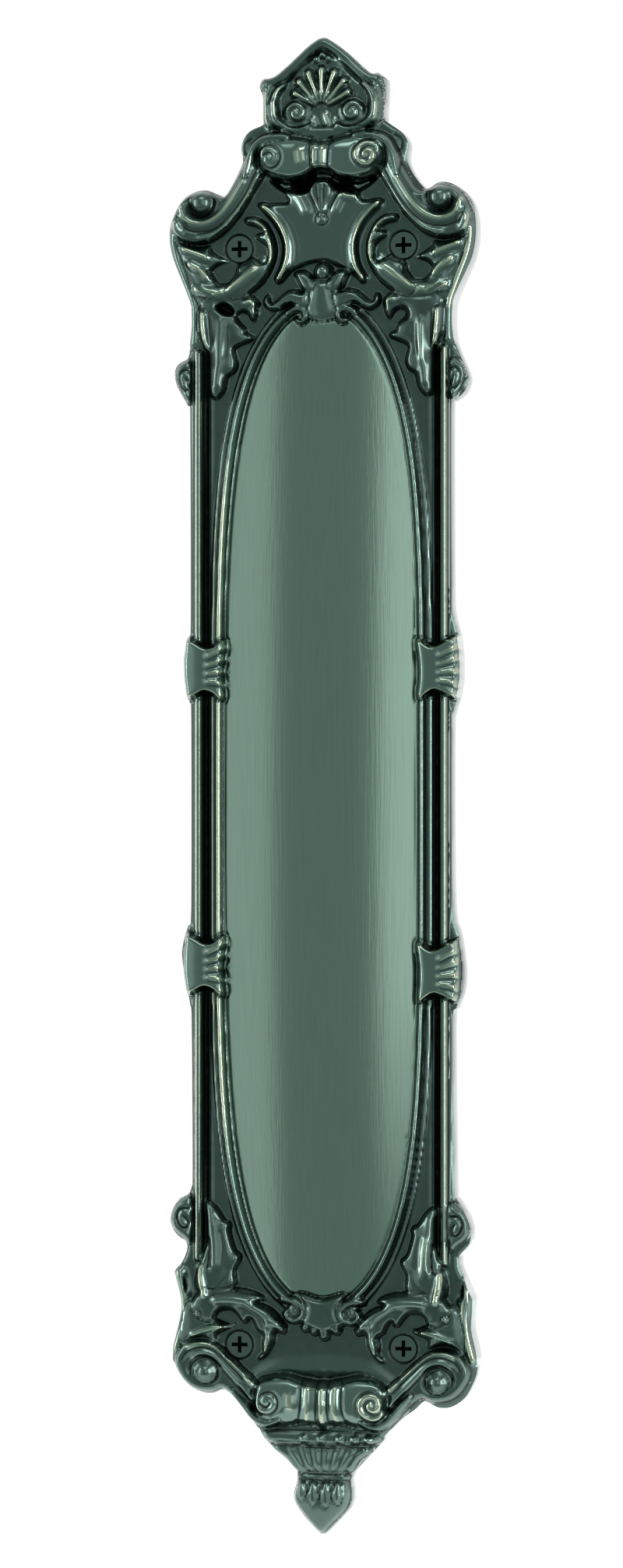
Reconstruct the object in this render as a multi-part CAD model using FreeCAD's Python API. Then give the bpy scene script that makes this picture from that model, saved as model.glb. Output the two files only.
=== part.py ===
import FreeCAD, Part
import math
import os

# Cast finger plate for a door, with its four fixing screws. Millimetres.
# X runs to the right seen from the front, Z runs up, the front faces -Y.
# The back plane is Y = 0 and a height on the front is measured from it.
# The outlines are drawn about the middle of the plate's length. The finished pieces are then
# lifted so that the origin is the middle of the four screws.

# Length of the plate. A change of it stretches the plain middle and moves the carved ends.
plate_length = 298.7
drawn_length = 298.7
plain_half = 70.0
stretch = 0.5 * (plate_length - drawn_length)

# Plate section: the flat ground, how deep the carving is rooted in it, and the hollow in the back
ground_height = 4.8
root = 0.7
pocket_depth = 3.0
pocket_half_width = 21.5
pocket_top = 96.0
pocket_bottom = -101.0
pocket_corner = 8.0

# Smooth oval cushion, a barrel in both directions, with its roll and its thin bead
cushion_half_width = 19.8
cushion_half_length = 99.7
cushion_middle = -4.2
cushion_arch = 3.5
cushion_rise = 4.3
oval_power = 4.4
oval_points = 24
roll_tuck = 0.2
roll_width = 1.6
roll_rise = 1.8
bead_offset = 2.4
bead_half = 0.3
bead_rise = 1.0

# Twin reeds along both sides, with a thin fillet inside them
reed_near = 24.85
reed_far = 25.5
reed_half = 0.6
reed_rise = 1.8
reed_valley = 1.2
reed_shoulder = 0.8
reed_top = 87.0
reed_bottom = -95.0
fillet_x = 23.0
fillet_half = 0.2
fillet_rise = 0.7
fillet_top = 78.0
fillet_bottom = -84.0

# Rise of the carving above the ground
edge_rise = 1.0
lip_rise = 0.6
shield_rise = 1.0
low_leaf_rise = 1.5
leaf_rise = 1.8
high_leaf_rise = 2.1
scroll_rise = 1.7
ridge_rise = 2.5
ear_rise = 1.4
knob_rise = 2.0
petal_rise = 2.2
flower_rise = 2.8
ball_rise = 3.8
strap_rise = 3.4
strap_x = 23.0
strap_arch_radius = 6.0
strap_places = [(23.2, 23.2), (-36.0, -37.0)]
urn_rise = 2.2
bell_rise = 1.4
acorn_rise = 2.6
acorn_arch_radius = 7.5

# Crossbars, each a barrel that lies level
top_bar_z = 125.3
top_bar_radius = 5.4
bottom_bar_z = -122.8
bottom_bar_radius = 6.4
bar_rise = 4.3
eye_radius = 2.5
eye_rise = 4.7
knot_half = 0.45
knot_pitch = 1.3
knot_drop = 3.7
knot_height = 2.3
flute_half = 0.55
flute_pitch = 1.8
flute_half_height = 3.7
knot_rise = 4.6

# Shell in the crest
shell_x = 0.4
shell_z = 134.8
shell_lobes = 7
lobe_spread = math.radians(21.0)
lobe_reach = 7.4
trefoil_x = 0.4
trefoil_z = 145.3
trefoil_radius = 1.3
volute_z = 134.5
volute_radius = 2.0

# Turns in an outline, in radians, below which it runs straight and above which it has a point
straight_turn = 0.02
sharp_turn = 0.9

# Shortest round stretch that is an arc, on the edge of the plate and in the carving
edge_arc = 4.0
carving_arc = 12.0
stud_sides = 9

# Screws and their holes
screw_x = 16.8
screw_top = 107.5
screw_bottom = -112.0
sink_radius = 3.0
hole_radius = 1.7
head_radius = 2.6
seat_gap = 0.1
neck_radius = 1.6
neck_reach = 0.2
shank_radius = 1.35
screw_length = 16.0
point_length = 4.0
cross_length = 3.3
cross_width = 0.75
cross_depth = 1.2
tip_radius = 0.15

# Outline of the plate, from the apex down the left side and up the right one
outline_left = [
    (0.2, 149.3), (-1.3, 148.5), (-3.2, 147.1), (-9.4, 141.9), (-11.7, 141.5), (-12.5, 140.6),
    (-12.7, 139.7), (-11.8, 137.2), (-11.8, 133.0), (-12.1, 132.2), (-14.4, 131.3), (-15.6, 130.2),
    (-16.4, 128.6), (-16.5, 127.2), (-16.2, 125.6), (-16.5, 124.0), (-19.4, 118.4), (-20.2, 118.1),
    (-22.7, 119.2), (-24.2, 119.5), (-26.2, 119.1), (-28.3, 117.8), (-30.0, 115.5), (-31.0, 112.4),
    (-31.2, 110.0), (-30.8, 107.4), (-29.9, 104.6), (-26.8, 97.2), (-26.5, 94.8), (-26.5, 91.8),
    (-27.3, 86.6), (-27.8, 85.6), (-28.9, 85.1), (-29.9, 84.2), (-30.3, 82.8), (-30.0, 80.9), (-29.1, 78.9),
    (-27.4, 76.0), (-27.1, 74.0), (-27.0, 34.0), (-27.3, 30.0), (-28.2, 26.5), (-28.3, 23.5), (-27.9, 20.0),
    (-27.2, 16.5), (-26.9, 13.0), (-26.9, -24.5), (-27.5, -28.0), (-28.6, -31.8), (-28.7, -35.5),
    (-27.1, -44.0), (-26.8, -48.0), (-26.6, -77.0), (-26.8, -80.5), (-27.5, -82.1), (-29.1, -82.9),
    (-30.5, -84.7), (-31.2, -87.2), (-30.5, -89.4), (-29.2, -90.8), (-28.2, -91.3), (-27.7, -92.3),
    (-27.9, -93.8), (-28.8, -95.8), (-29.9, -97.2), (-30.0, -98.0), (-28.9, -102.0), (-28.6, -104.2),
    (-28.9, -106.8), (-30.7, -114.4), (-30.3, -116.2), (-29.2, -118.4), (-27.4, -120.4), (-25.3, -121.5),
    (-23.7, -121.9), (-22.0, -121.8), (-20.2, -121.1), (-19.2, -121.6), (-17.9, -122.7), (-13.6, -127.8),
    (-12.5, -128.4), (-12.1, -129.1), (-11.9, -130.2), (-11.3, -131.1), (-5.4, -136.3), (-4.9, -137.4),
    (-4.8, -138.6), (-5.6, -141.0), (-5.6, -142.4), (-5.1, -143.8), (-3.2, -146.4), (-0.3, -149.2),
]
outline_right = [
    (0.3, -149.4), (1.0, -149.2), (5.3, -144.7), (6.0, -143.4), (6.4, -141.8), (6.1, -138.7), (6.3, -137.8),
    (7.0, -136.5), (12.3, -130.8), (13.5, -129.0), (16.4, -126.0), (18.9, -124.2), (20.3, -122.8),
    (21.3, -122.4), (23.4, -123.4), (24.6, -123.6), (26.4, -123.4), (28.3, -122.3), (29.7, -120.8),
    (30.9, -118.5), (31.6, -116.5), (31.8, -114.5), (31.6, -112.3), (30.6, -107.8), (30.8, -103.0),
    (30.6, -101.2), (28.3, -96.0), (28.1, -94.4), (28.1, -93.2), (29.6, -91.6), (30.2, -90.6),
    (30.4, -89.0), (30.3, -87.3), (29.5, -85.2), (27.5, -82.0), (27.1, -80.5), (26.7, -48.0), (27.4, -44.3),
    (28.6, -41.0), (28.9, -37.5), (28.6, -33.5), (27.8, -29.0), (26.8, -25.0), (26.5, -10.0), (26.5, 11.0),
    (26.8, 14.5), (27.7, 17.5), (28.3, 21.0), (28.3, 25.5), (27.8, 30.0), (26.8, 34.0), (26.5, 40.0),
    (26.4, 74.0), (26.9, 76.4), (28.2, 77.3), (29.2, 78.4), (29.8, 80.0), (29.8, 81.6), (27.5, 87.3),
    (27.0, 89.6), (26.8, 92.4), (26.9, 94.8), (27.4, 97.2), (30.3, 103.6), (31.1, 106.0), (31.5, 108.3),
    (31.6, 110.8), (31.4, 113.2), (30.7, 115.6), (29.6, 117.3), (28.2, 118.6), (26.4, 119.6), (24.5, 119.9),
    (23.2, 119.5), (22.3, 118.8), (21.4, 118.6), (20.4, 119.4), (19.0, 121.2), (18.0, 123.0), (17.4, 125.0),
    (17.7, 127.2), (17.3, 128.8), (16.0, 130.3), (13.3, 132.2), (12.9, 133.2), (13.2, 140.0), (12.6, 141.2),
    (11.4, 142.0), (9.9, 142.0), (5.4, 146.1), (1.5, 149.0),
]
outline = outline_left + outline_right

# Leaves of the left side, each a closed outline
shoulder_leaf = [
    (-29.2, 110.0), (-26.5, 108.8), (-22.8, 108.2), (-22.2, 107.2), (-21.1, 106.1), (-19.4, 105.3),
    (-19.7, 104.8), (-21.2, 104.3), (-22.3, 103.4), (-22.4, 102.6), (-20.6, 100.7), (-18.4, 100.4),
    (-18.0, 99.0), (-19.5, 97.5), (-22.0, 96.4), (-24.8, 96.2), (-29.0, 107.4),
]
hook_leaf = [
    (-18.2, 101.0), (-17.3, 102.5), (-16.9, 104.0), (-14.6, 105.0), (-13.9, 105.6), (-12.3, 104.3),
    (-11.2, 104.3), (-10.6, 105.3), (-10.6, 106.8), (-11.2, 108.1), (-13.2, 109.6), (-13.2, 110.1),
    (-11.5, 110.5), (-12.0, 111.4), (-13.3, 112.0), (-15.1, 112.4), (-15.5, 113.1), (-14.6, 113.7),
    (-12.8, 113.4), (-11.1, 112.2), (-10.0, 110.4), (-9.3, 108.4), (-9.2, 106.2), (-9.7, 104.2),
    (-10.6, 102.2), (-11.8, 100.5), (-14.3, 98.5), (-16.0, 97.5), (-18.3, 97.6), (-19.3, 99.0),
]
hanging_leaf = [
    (-14.3, 98.3), (-13.3, 97.5), (-12.5, 96.4), (-13.0, 95.4), (-13.0, 94.2), (-13.5, 92.9), (-14.2, 93.3),
    (-14.9, 94.5), (-16.1, 94.9), (-17.0, 94.3), (-17.0, 93.2), (-15.2, 91.4), (-15.2, 90.5), (-13.6, 89.8),
    (-14.4, 89.0), (-17.2, 87.8), (-17.6, 86.8), (-17.2, 85.5), (-17.1, 84.0), (-17.8, 82.6), (-19.0, 81.9),
    (-19.6, 79.3), (-20.6, 77.9), (-21.6, 77.4), (-22.4, 78.2), (-22.8, 80.0), (-22.8, 86.0), (-23.3, 88.0),
    (-24.4, 90.0), (-24.8, 93.0), (-24.6, 95.5), (-22.5, 97.2), (-19.5, 98.2), (-16.5, 98.8),
]
rising_leaf = [
    (-23.5, -83.2), (-21.2, -84.5), (-19.8, -86.8), (-18.9, -87.1), (-18.4, -88.1), (-18.6, -89.2),
    (-17.5, -92.9), (-16.6, -93.8), (-16.2, -95.1), (-18.0, -99.3), (-21.0, -101.2), (-23.5, -101.8),
    (-25.2, -99.0), (-24.6, -96.0), (-23.4, -92.0), (-23.4, -87.5),
]
claw_leaf = [
    (-21.0, -101.2), (-18.5, -101.0), (-15.5, -101.2), (-13.2, -101.6), (-11.6, -102.3), (-11.4, -102.8),
    (-13.0, -103.3), (-10.2, -104.9), (-8.4, -106.6), (-7.2, -108.4), (-7.6, -109.6), (-8.6, -109.2),
    (-9.3, -109.4), (-9.4, -111.0), (-10.2, -112.8), (-11.4, -114.2), (-12.8, -114.9), (-12.6, -114.1),
    (-11.7, -113.2), (-12.0, -111.3), (-11.7, -110.2), (-12.0, -109.4), (-12.9, -109.0), (-13.8, -107.0),
    (-14.6, -106.6), (-15.0, -107.4), (-15.7, -107.6), (-17.4, -105.4), (-18.6, -104.9), (-20.3, -105.0),
    (-21.3, -105.8), (-21.7, -107.0), (-23.2, -107.4), (-25.0, -106.4), (-25.4, -103.8), (-23.6, -101.6),
]
volute_leaf = [
    (-21.4, -106.9), (-18.6, -108.0), (-17.6, -107.7), (-18.2, -108.5), (-20.9, -109.6), (-21.5, -110.4),
    (-21.1, -111.2), (-21.9, -111.5), (-23.5, -111.0), (-25.4, -111.0), (-27.2, -111.8), (-28.4, -113.2),
    (-28.8, -111.0), (-28.0, -108.2), (-26.2, -106.6), (-24.2, -107.0),
]
side_petal = [
    (-3.4, 98.4), (-5.0, 98.8), (-6.8, 98.5), (-9.2, 96.5), (-10.1, 96.3), (-10.5, 97.2), (-10.4, 98.0),
    (-11.1, 97.9), (-11.5, 96.8), (-11.0, 95.7), (-10.0, 95.0), (-8.8, 95.0), (-7.6, 95.4), (-6.6, 96.1),
    (-5.2, 95.9), (-4.2, 95.2), (-3.4, 93.9), (-0.3, 95.5), (0.2, 97.5), (-1.2, 98.7),
]
upper_petal = [
    (-5.0, 102.4), (-3.6, 102.6), (-2.2, 102.2), (-0.4, 100.6), (-0.6, 98.8), (-2.4, 98.2), (-3.6, 99.2),
    (-4.9, 101.5),
]

# Shapes that lie across the middle
shield = [
    (-12.4, 116.5), (-6.7, 116.5), (-3.7, 116.0), (-2.2, 113.4), (0.3, 112.6), (2.7, 113.4), (4.6, 116.1),
    (8.5, 116.6), (12.3, 116.9), (12.7, 116.1), (9.2, 112.8), (7.5, 109.0), (7.7, 104.6), (9.2, 101.0),
    (8.5, 100.1), (5.6, 102.6), (0.3, 104.6), (-5.2, 103.2), (-8.0, 100.6), (-9.3, 101.0), (-7.9, 104.9),
    (-7.8, 109.0), (-10.2, 113.3), (-12.8, 115.9),
]
tassel = [
    (-1.6, 120.4), (0.3, 120.8), (2.2, 120.4), (2.5, 118.4), (2.0, 116.2), (1.2, 114.4), (0.3, 113.8),
    (-0.6, 114.4), (-1.4, 116.2), (-1.9, 118.4),
]
top_bar = [
    (-13.4, 128.2), (-11.6, 129.8), (-6.0, 129.7), (0.3, 128.2), (6.0, 129.3), (11.6, 130.0), (13.5, 128.4),
    (13.4, 124.6), (11.0, 121.4), (0.3, 121.2), (-10.6, 121.2), (-13.2, 124.6),
]
bottom_bar = [
    (-13.2, -119.4), (-9.2, -117.4), (0.2, -118.4), (9.2, -117.2), (13.4, -119.6), (13.7, -124.5),
    (10.8, -128.1), (0.2, -127.6), (-10.8, -127.8), (-13.5, -124.0),
]
oval_foot = [
    (-7.0, -101.8), (0.8, -102.4), (5.5, -102.2), (7.4, -103.2), (7.7, -105.4), (6.6, -107.2), (4.0, -107.9),
    (2.6, -109.0), (0.0, -107.4), (-2.6, -109.1), (-4.8, -107.8), (-7.2, -106.2), (-7.4, -104.0),
]

# Strap that binds the left reeds, drawn about its own middle height
strap = [
    (-26.2, 6.6), (-27.2, 3.6), (-27.4, 0.3), (-27.0, -3.2), (-26.1, -6.0), (-23.2, -4.6), (-20.0, -6.4),
    (-18.7, -5.4), (-19.1, -0.6), (-18.5, 5.4), (-19.9, 6.0), (-23.0, 4.7),
]

# Urn and acorn at the foot
urn_rim = [
    (-11.4, -128.8), (-5.0, -128.4), (0.5, -128.2), (6.5, -128.5), (12.6, -129.4), (11.6, -130.9),
    (5.5, -131.5), (0.4, -131.6), (-5.0, -131.5), (-10.4, -131.2),
]
urn_bell = [
    (-9.0, -131.4), (0.4, -131.4), (9.8, -131.4), (7.6, -134.2), (6.0, -136.8), (0.6, -136.8), (-4.5, -136.8),
    (-6.6, -134.4),
]
acorn = [
    (-3.9, -138.2), (0.6, -138.2), (5.2, -138.2), (5.7, -140.0), (5.8, -141.6), (5.2, -143.6), (4.2, -145.0),
    (2.0, -147.2), (0.4, -148.6), (-1.4, -147.2), (-3.4, -144.8), (-4.5, -143.2), (-4.9, -141.6), (-4.8, -140.2),
]

# Middle lines of the raised ribs
roof = [
    (-10.4, 140.4), (-7.6, 141.8), (-4.6, 144.1), (-2.0, 146.5), (0.3, 147.6), (2.7, 146.7), (5.4, 144.5),
    (8.2, 141.9), (10.8, 140.4),
]
crest_scroll = [
    (-6.8, 139.8), (-8.9, 137.8), (-9.4, 134.2), (-7.8, 131.7), (-5.0, 131.2), (-2.9, 132.1), (-1.9, 134.2),
]
neck_scroll = [
    (-13.7, 127.4), (-14.6, 123.4), (-16.8, 118.6), (-20.4, 113.4), (-24.6, 111.3), (-28.2, 113.4),
    (-27.6, 117.0),
]
neck_ridge = [(-14.9, 123.8), (-16.4, 120.6), (-18.0, 117.6), (-20.4, 114.4), (-24.2, 112.6)]
shoulder_edge = [(-29.6, 112.6), (-29.5, 107.4), (-27.3, 101.0), (-25.6, 95.2), (-25.6, 89.0)]
shield_roll = [
    (-11.6, 115.7), (-9.6, 113.9), (-7.9, 111.7), (-6.8, 108.2), (-6.8, 105.4), (-7.6, 102.8), (-8.6, 101.2),
]
lower_scroll = [
    (-13.8, -120.2), (-17.8, -116.8), (-21.6, -113.8), (-24.2, -113.1), (-26.6, -114.2), (-27.4, -116.4),
    (-26.4, -119.0),
]
lower_ridge = [(-14.6, -118.8), (-16.8, -117.0), (-19.2, -115.0), (-21.8, -113.2), (-25.4, -113.1)]
lower_edge = [(-28.7, -98.6), (-27.5, -103.5), (-28.0, -108.0), (-29.2, -112.6), (-29.0, -116.4)]
lip = [(-8.0, -116.3), (-4.0, -115.8), (0.0, -115.5), (4.0, -115.6), (8.0, -116.1)]
neck_ring = [(-3.6, -137.5), (0.6, -137.5), (4.8, -137.5)]
foot_curl = [(-5.2, -102.9), (-4.0, -103.6), (-3.4, -104.9), (-4.2, -106.1), (-6.2, -106.0)]


def mirrored(points, axis):
    return [(2.0 * axis - x, z) for x, z in points]


def moved(points, right, up):
    return [(x + right, z + up) for x, z in points]


def grown(points, offset):
    count = len(points)
    result = []
    for i in range(count):
        before = points[i - 1]
        after = points[(i + 1) % count]
        run = after[0] - before[0]
        rise = after[1] - before[1]
        length = math.hypot(run, rise)
        result.append((points[i][0] + offset * rise / length, points[i][1] - offset * run / length))
    return result


def along(z):
    return z + stretch * max(-1.0, min(1.0, z / plain_half))


def at_height(point, height):
    return FreeCAD.Vector(point[0], -height, along(point[1]))


def bend(a, b, c):
    first = math.atan2(b[1] - a[1], b[0] - a[0])
    second = math.atan2(c[1] - b[1], c[0] - b[0])
    turn = second - first
    return abs(math.atan2(math.sin(turn), math.cos(turn)))


def distance(a, b):
    return math.hypot(b[0] - a[0], b[1] - a[1])


def outline_wire(points, height, shortest_arc):
    edges = []
    count = len(points)
    i = 0
    while i < count:
        a = points[i]
        b = points[(i + 1) % count]
        c = points[(i + 2) % count]
        turn = bend(a, b, c)
        if i + 1 == count or turn > sharp_turn or distance(a, c) < shortest_arc:
            edges.append(Part.makeLine(at_height(a, height), at_height(b, height)))
            i += 1
        elif turn < straight_turn:
            edges.append(Part.makeLine(at_height(a, height), at_height(c, height)))
            i += 2
        else:
            arc = Part.Arc(at_height(a, height), at_height(b, height), at_height(c, height))
            edges.append(arc.toShape())
            i += 2
    return Part.Wire(edges)


def prism(points, low, high, shortest_arc):
    face = Part.Face(outline_wire(points, low, shortest_arc))
    return face.extrude(FreeCAD.Vector(0, low - high, 0))


def raised(points, rise):
    return prism(points, ground_height - root, ground_height + rise, carving_arc)


def band(path, halves):
    left = []
    right = []
    last = len(path) - 1
    for i, (x, z) in enumerate(path):
        before = path[max(i - 1, 0)]
        after = path[min(i + 1, last)]
        run = after[0] - before[0]
        rise = after[1] - before[1]
        length = math.hypot(run, rise)
        half = halves[i] if isinstance(halves, list) else halves
        left.append((x - half * rise / length, z + half * run / length))
        right.append((x + half * rise / length, z - half * run / length))
        if i == 0:
            start = (x - half * run / length, z - half * rise / length)
        if i == last:
            end = (x + half * run / length, z + half * rise / length)
    return right + [end] + left[::-1] + [start]


def rib(path, halves, rise):
    return raised(band(path, halves), rise)


def stud(x, z, radius, rise):
    ring = []
    for i in range(stud_sides):
        angle = 2.0 * math.pi * i / stud_sides
        ring.append((x + radius * math.cos(angle), z + radius * math.sin(angle)))
    return raised(ring, rise)


def ball(x, z, radius, rise):
    return stud(x, z, radius, 0.7 * rise).fuse(stud(x, z, 0.65 * radius, rise))


def arch(points, direction, middle, radius, rise):
    centre = middle + FreeCAD.Vector(0, radius - ground_height - rise, 0)
    start = centre - direction * plate_length
    bar = Part.makeCylinder(radius, 2.0 * plate_length, start, direction)
    return raised(points, rise + 1.0).common(bar)


def upright_arch(points, x, radius, rise):
    return arch(points, FreeCAD.Vector(0, 0, 1), FreeCAD.Vector(x, 0, 0), radius, rise)


def level_arch(points, z, radius, rise):
    return arch(points, FreeCAD.Vector(1, 0, 0), FreeCAD.Vector(0, 0, along(z)), radius, rise)


def oval(offset):
    points = []
    for i in range(oval_points):
        angle = 2.0 * math.pi * i / oval_points
        up = math.sin(angle)
        x = cushion_half_width * math.cos(angle)
        z = cushion_half_length * math.copysign(abs(up) ** (2.0 / oval_power), up)
        points.append((x, cushion_middle + z))
    return grown(points, offset)


def oval_ring(inner, outer, rise):
    hole = prism(oval(inner), 0.0, ground_height + rise + 1.0, carving_arc)
    return raised(oval(outer), rise).cut(hole)


def cushion():
    half_length = cushion_half_length + stretch
    cross_radius = cushion_half_width ** 2 / (2.0 * cushion_arch) + cushion_arch / 2.0
    long_radius = half_length ** 2 / (2.0 * cushion_arch) + cushion_arch / 2.0
    centre = at_height((0, cushion_middle), ground_height + cushion_rise - long_radius)
    barrel = Part.makeTorus(long_radius - cross_radius, cross_radius, centre, FreeCAD.Vector(1, 0, 0))
    return raised(oval(0.0), cushion_rise + 1.0).common(barrel)


def box(x0, x1, low, high, z0, z1):
    return Part.makeBox(x1 - x0, high - low, z1 - z0, FreeCAD.Vector(x0, -high, z0))


def upright_bar(x, half, bottom, top, rise):
    return raised([(x - half, bottom), (x + half, bottom), (x + half, top), (x - half, top)], rise)


pieces = []


def add_pair(points, rise, axis=0.0, up=0.0):
    pieces.append(raised(points, rise))
    pieces.append(raised(moved(mirrored(points, axis), 0.0, up), rise))


def add_rib_pair(path, halves, rise, axis=0.0, up=0.0):
    pieces.append(rib(path, halves, rise))
    pieces.append(rib(moved(mirrored(path, axis), 0.0, up), halves, rise))


# Body with its wall
body = prism(outline, 0.0, ground_height, edge_arc)

# Cushion with the roll round it, and the thin bead outside the roll
pieces.append(cushion())
pieces.append(oval_ring(-roll_tuck, roll_width, roll_rise))
pieces.append(oval_ring(bead_offset - bead_half, bead_offset + bead_half, bead_rise))

# Twin reeds and the thin fillets beside them
reed_profile = [
    (reed_near - reed_half, -root), (reed_near - reed_half, reed_shoulder), (reed_near, reed_rise),
    (0.5 * (reed_near + reed_far), reed_valley), (reed_far, reed_rise), (reed_far + reed_half, reed_shoulder),
    (reed_far + reed_half, -root),
]
for side in (-1.0, 1.0):
    corners = [at_height((side * x, reed_bottom), ground_height + rise) for x, rise in reed_profile]
    section = Part.Face(Part.makePolygon(corners + corners[:1]))
    pieces.append(section.extrude(FreeCAD.Vector(0, 0, along(reed_top) - along(reed_bottom))))
    pieces.append(upright_bar(side * fillet_x, fillet_half, fillet_bottom, fillet_top, fillet_rise))

# Straps that bind the reeds
for left_z, right_z in strap_places:
    pieces.append(upright_arch(moved(strap, 0.0, left_z), -strap_x, strap_arch_radius, strap_rise))
    right_strap = moved(mirrored(strap, 0.2), 0.0, right_z)
    pieces.append(upright_arch(right_strap, 0.4 + strap_x, strap_arch_radius, strap_rise))

# Crest with roof moulding, shell and small scrolls
pieces.append(rib(roof, 0.7, edge_rise))
for i in range(shell_lobes):
    step = i - (shell_lobes - 1) / 2.0
    angle = lobe_spread * step
    reaches = (1.8, 4.6, lobe_reach - 0.12 * step * step)
    lobe = [(shell_x + math.sin(angle) * r, shell_z + math.cos(angle) * r) for r in reaches]
    pieces.append(rib(lobe, [0.25, 0.7, 1.05], knob_rise))
pieces.append(stud(trefoil_x, trefoil_z, trefoil_radius, leaf_rise))
add_rib_pair(crest_scroll, [0.5, 0.9, 0.95, 0.95, 0.9, 0.8, 0.5], high_leaf_rise, 0.75)
for x in (-4.9, 6.4):
    pieces.append(stud(x, volute_z, volute_radius, ridge_rise))

# Upper crossbar, with an eye at each end and a knot in the middle
pieces.append(level_arch(top_bar, top_bar_z, top_bar_radius, bar_rise))
for x in (-10.2, 10.0):
    pieces.append(stud(x, top_bar_z, eye_radius, eye_rise))
for step in (-1.0, 0.0, 1.0):
    x = 0.4 + step * knot_pitch
    pieces.append(upright_bar(x, knot_half, top_bar_z - knot_drop, top_bar_z + knot_height, knot_rise))

# Neck scrolls that run to the shoulder volutes
add_rib_pair(neck_scroll, [0.7, 1.3, 1.6, 1.6, 1.5, 1.1, 0.5], scroll_rise, 0.2)
add_rib_pair(neck_ridge, 0.45, ridge_rise, 0.2)
for x in (-24.2, 24.6):
    pieces.append(ball(x, 116.7, 2.3, ball_rise))
add_rib_pair(shoulder_edge, 0.6, edge_rise, 0.15)

# Shoulder leaves
add_pair(shoulder_leaf, low_leaf_rise, 0.2)
add_pair(hook_leaf, high_leaf_rise, 0.15)
add_pair(hanging_leaf, leaf_rise, 0.2)

# Shield and tassel under the crossbar
pieces.append(raised(shield, shield_rise))
add_rib_pair(shield_roll, [0.4, 0.6, 0.65, 0.65, 0.65, 0.6, 0.35], knob_rise, 0.2)
pieces.append(raised(tassel, petal_rise))
pieces.append(stud(0.3, 112.9, 1.0, knob_rise))

# Flower at the head of the cushion
add_pair(side_petal, petal_rise, 0.3)
add_pair(upper_petal, knob_rise, 0.35)
pieces.append(stud(0.4, 102.4, 1.9, flower_rise))

# Ears beside the reeds
for x, z in ((-27.9, 80.6), (27.7, 80.3), (-28.4, -86.6), (28.1, -87.8)):
    pieces.append(stud(x, z, 1.9, ear_rise))

# Lower leaves and volutes
add_pair(rising_leaf, leaf_rise, 0.1, -0.4)
add_pair(claw_leaf, high_leaf_rise, 0.1, -0.1)
add_pair(volute_leaf, low_leaf_rise, 0.3, -0.2)
add_rib_pair(lower_scroll, [0.7, 1.5, 1.6, 1.5, 1.2, 0.9, 0.5], scroll_rise, 0.3, -0.9)
add_rib_pair(lower_ridge, 0.45, ridge_rise, 0.3, -0.9)
pieces.append(ball(-23.6, -117.5, 2.4, ball_rise))
pieces.append(ball(24.4, -118.7, 2.4, ball_rise))
add_rib_pair(lower_edge, 0.6, edge_rise, 0.6, -1.0)

# Lower crossbar, with its eyes and fluted band
pieces.append(level_arch(bottom_bar, bottom_bar_z, bottom_bar_radius, bar_rise))
for x in (-11.0, 10.7):
    pieces.append(stud(x, bottom_bar_z, eye_radius, eye_rise))
for step in (-1.5, -0.5, 0.5, 1.5):
    x = step * flute_pitch
    low = bottom_bar_z - flute_half_height
    pieces.append(upright_bar(x, flute_half, low, bottom_bar_z + flute_half_height, knot_rise))
pieces.append(rib(lip, 0.9, lip_rise))

# Foot of the cushion
pieces.append(raised(oval_foot, low_leaf_rise))
add_rib_pair(foot_curl, 0.5, petal_rise)
pieces.append(stud(0.3, -109.4, 1.1, leaf_rise))

# Fluted urn, neck ring and acorn at the foot
pieces.append(raised(urn_rim, urn_rise))
pieces.append(raised(urn_bell, bell_rise))
for step in range(-3, 4):
    top_x = 0.5 + 2.6 * step
    low_x = 0.6 + 1.35 * step
    flute = [(top_x, -132.2), (0.5 * (top_x + low_x), -134.2), (low_x, -136.2)]
    pieces.append(rib(flute, [0.8, 0.6, 0.35], urn_rise))
pieces.append(rib(neck_ring, 0.6, knob_rise))
pieces.append(upright_arch(acorn, 0.5, acorn_arch_radius, acorn_rise))

plate = body.multiFuse(pieces)

# Hollow back under the cushion, and the countersunk holes in the solid ends
low = along(pocket_bottom)
high = along(pocket_top)
pocket = box(-pocket_half_width, pocket_half_width, -1.0, pocket_depth, low, high)
corners = [e for e in pocket.Edges if e.BoundBox.YLength > pocket_depth]
cuts = [pocket.makeFillet(pocket_corner, corners)]
front = FreeCAD.Vector(0, -1, 0)
sink_depth = sink_radius - hole_radius
screw_places = [(x, z) for x in (-screw_x, screw_x) for z in (screw_top, screw_bottom)]
for place in screw_places:
    hole = Part.makeCylinder(hole_radius, 2.0 * ground_height, at_height(place, -1.0), front)
    seat_foot = at_height(place, ground_height - sink_depth)
    seat = Part.makeCone(hole_radius, sink_radius, sink_depth, seat_foot, front)
    clear = Part.makeCylinder(sink_radius, ground_height, at_height(place, ground_height), front)
    cuts.extend([hole, seat, clear])
plate = plate.cut(cuts).removeSplitter()

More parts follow.
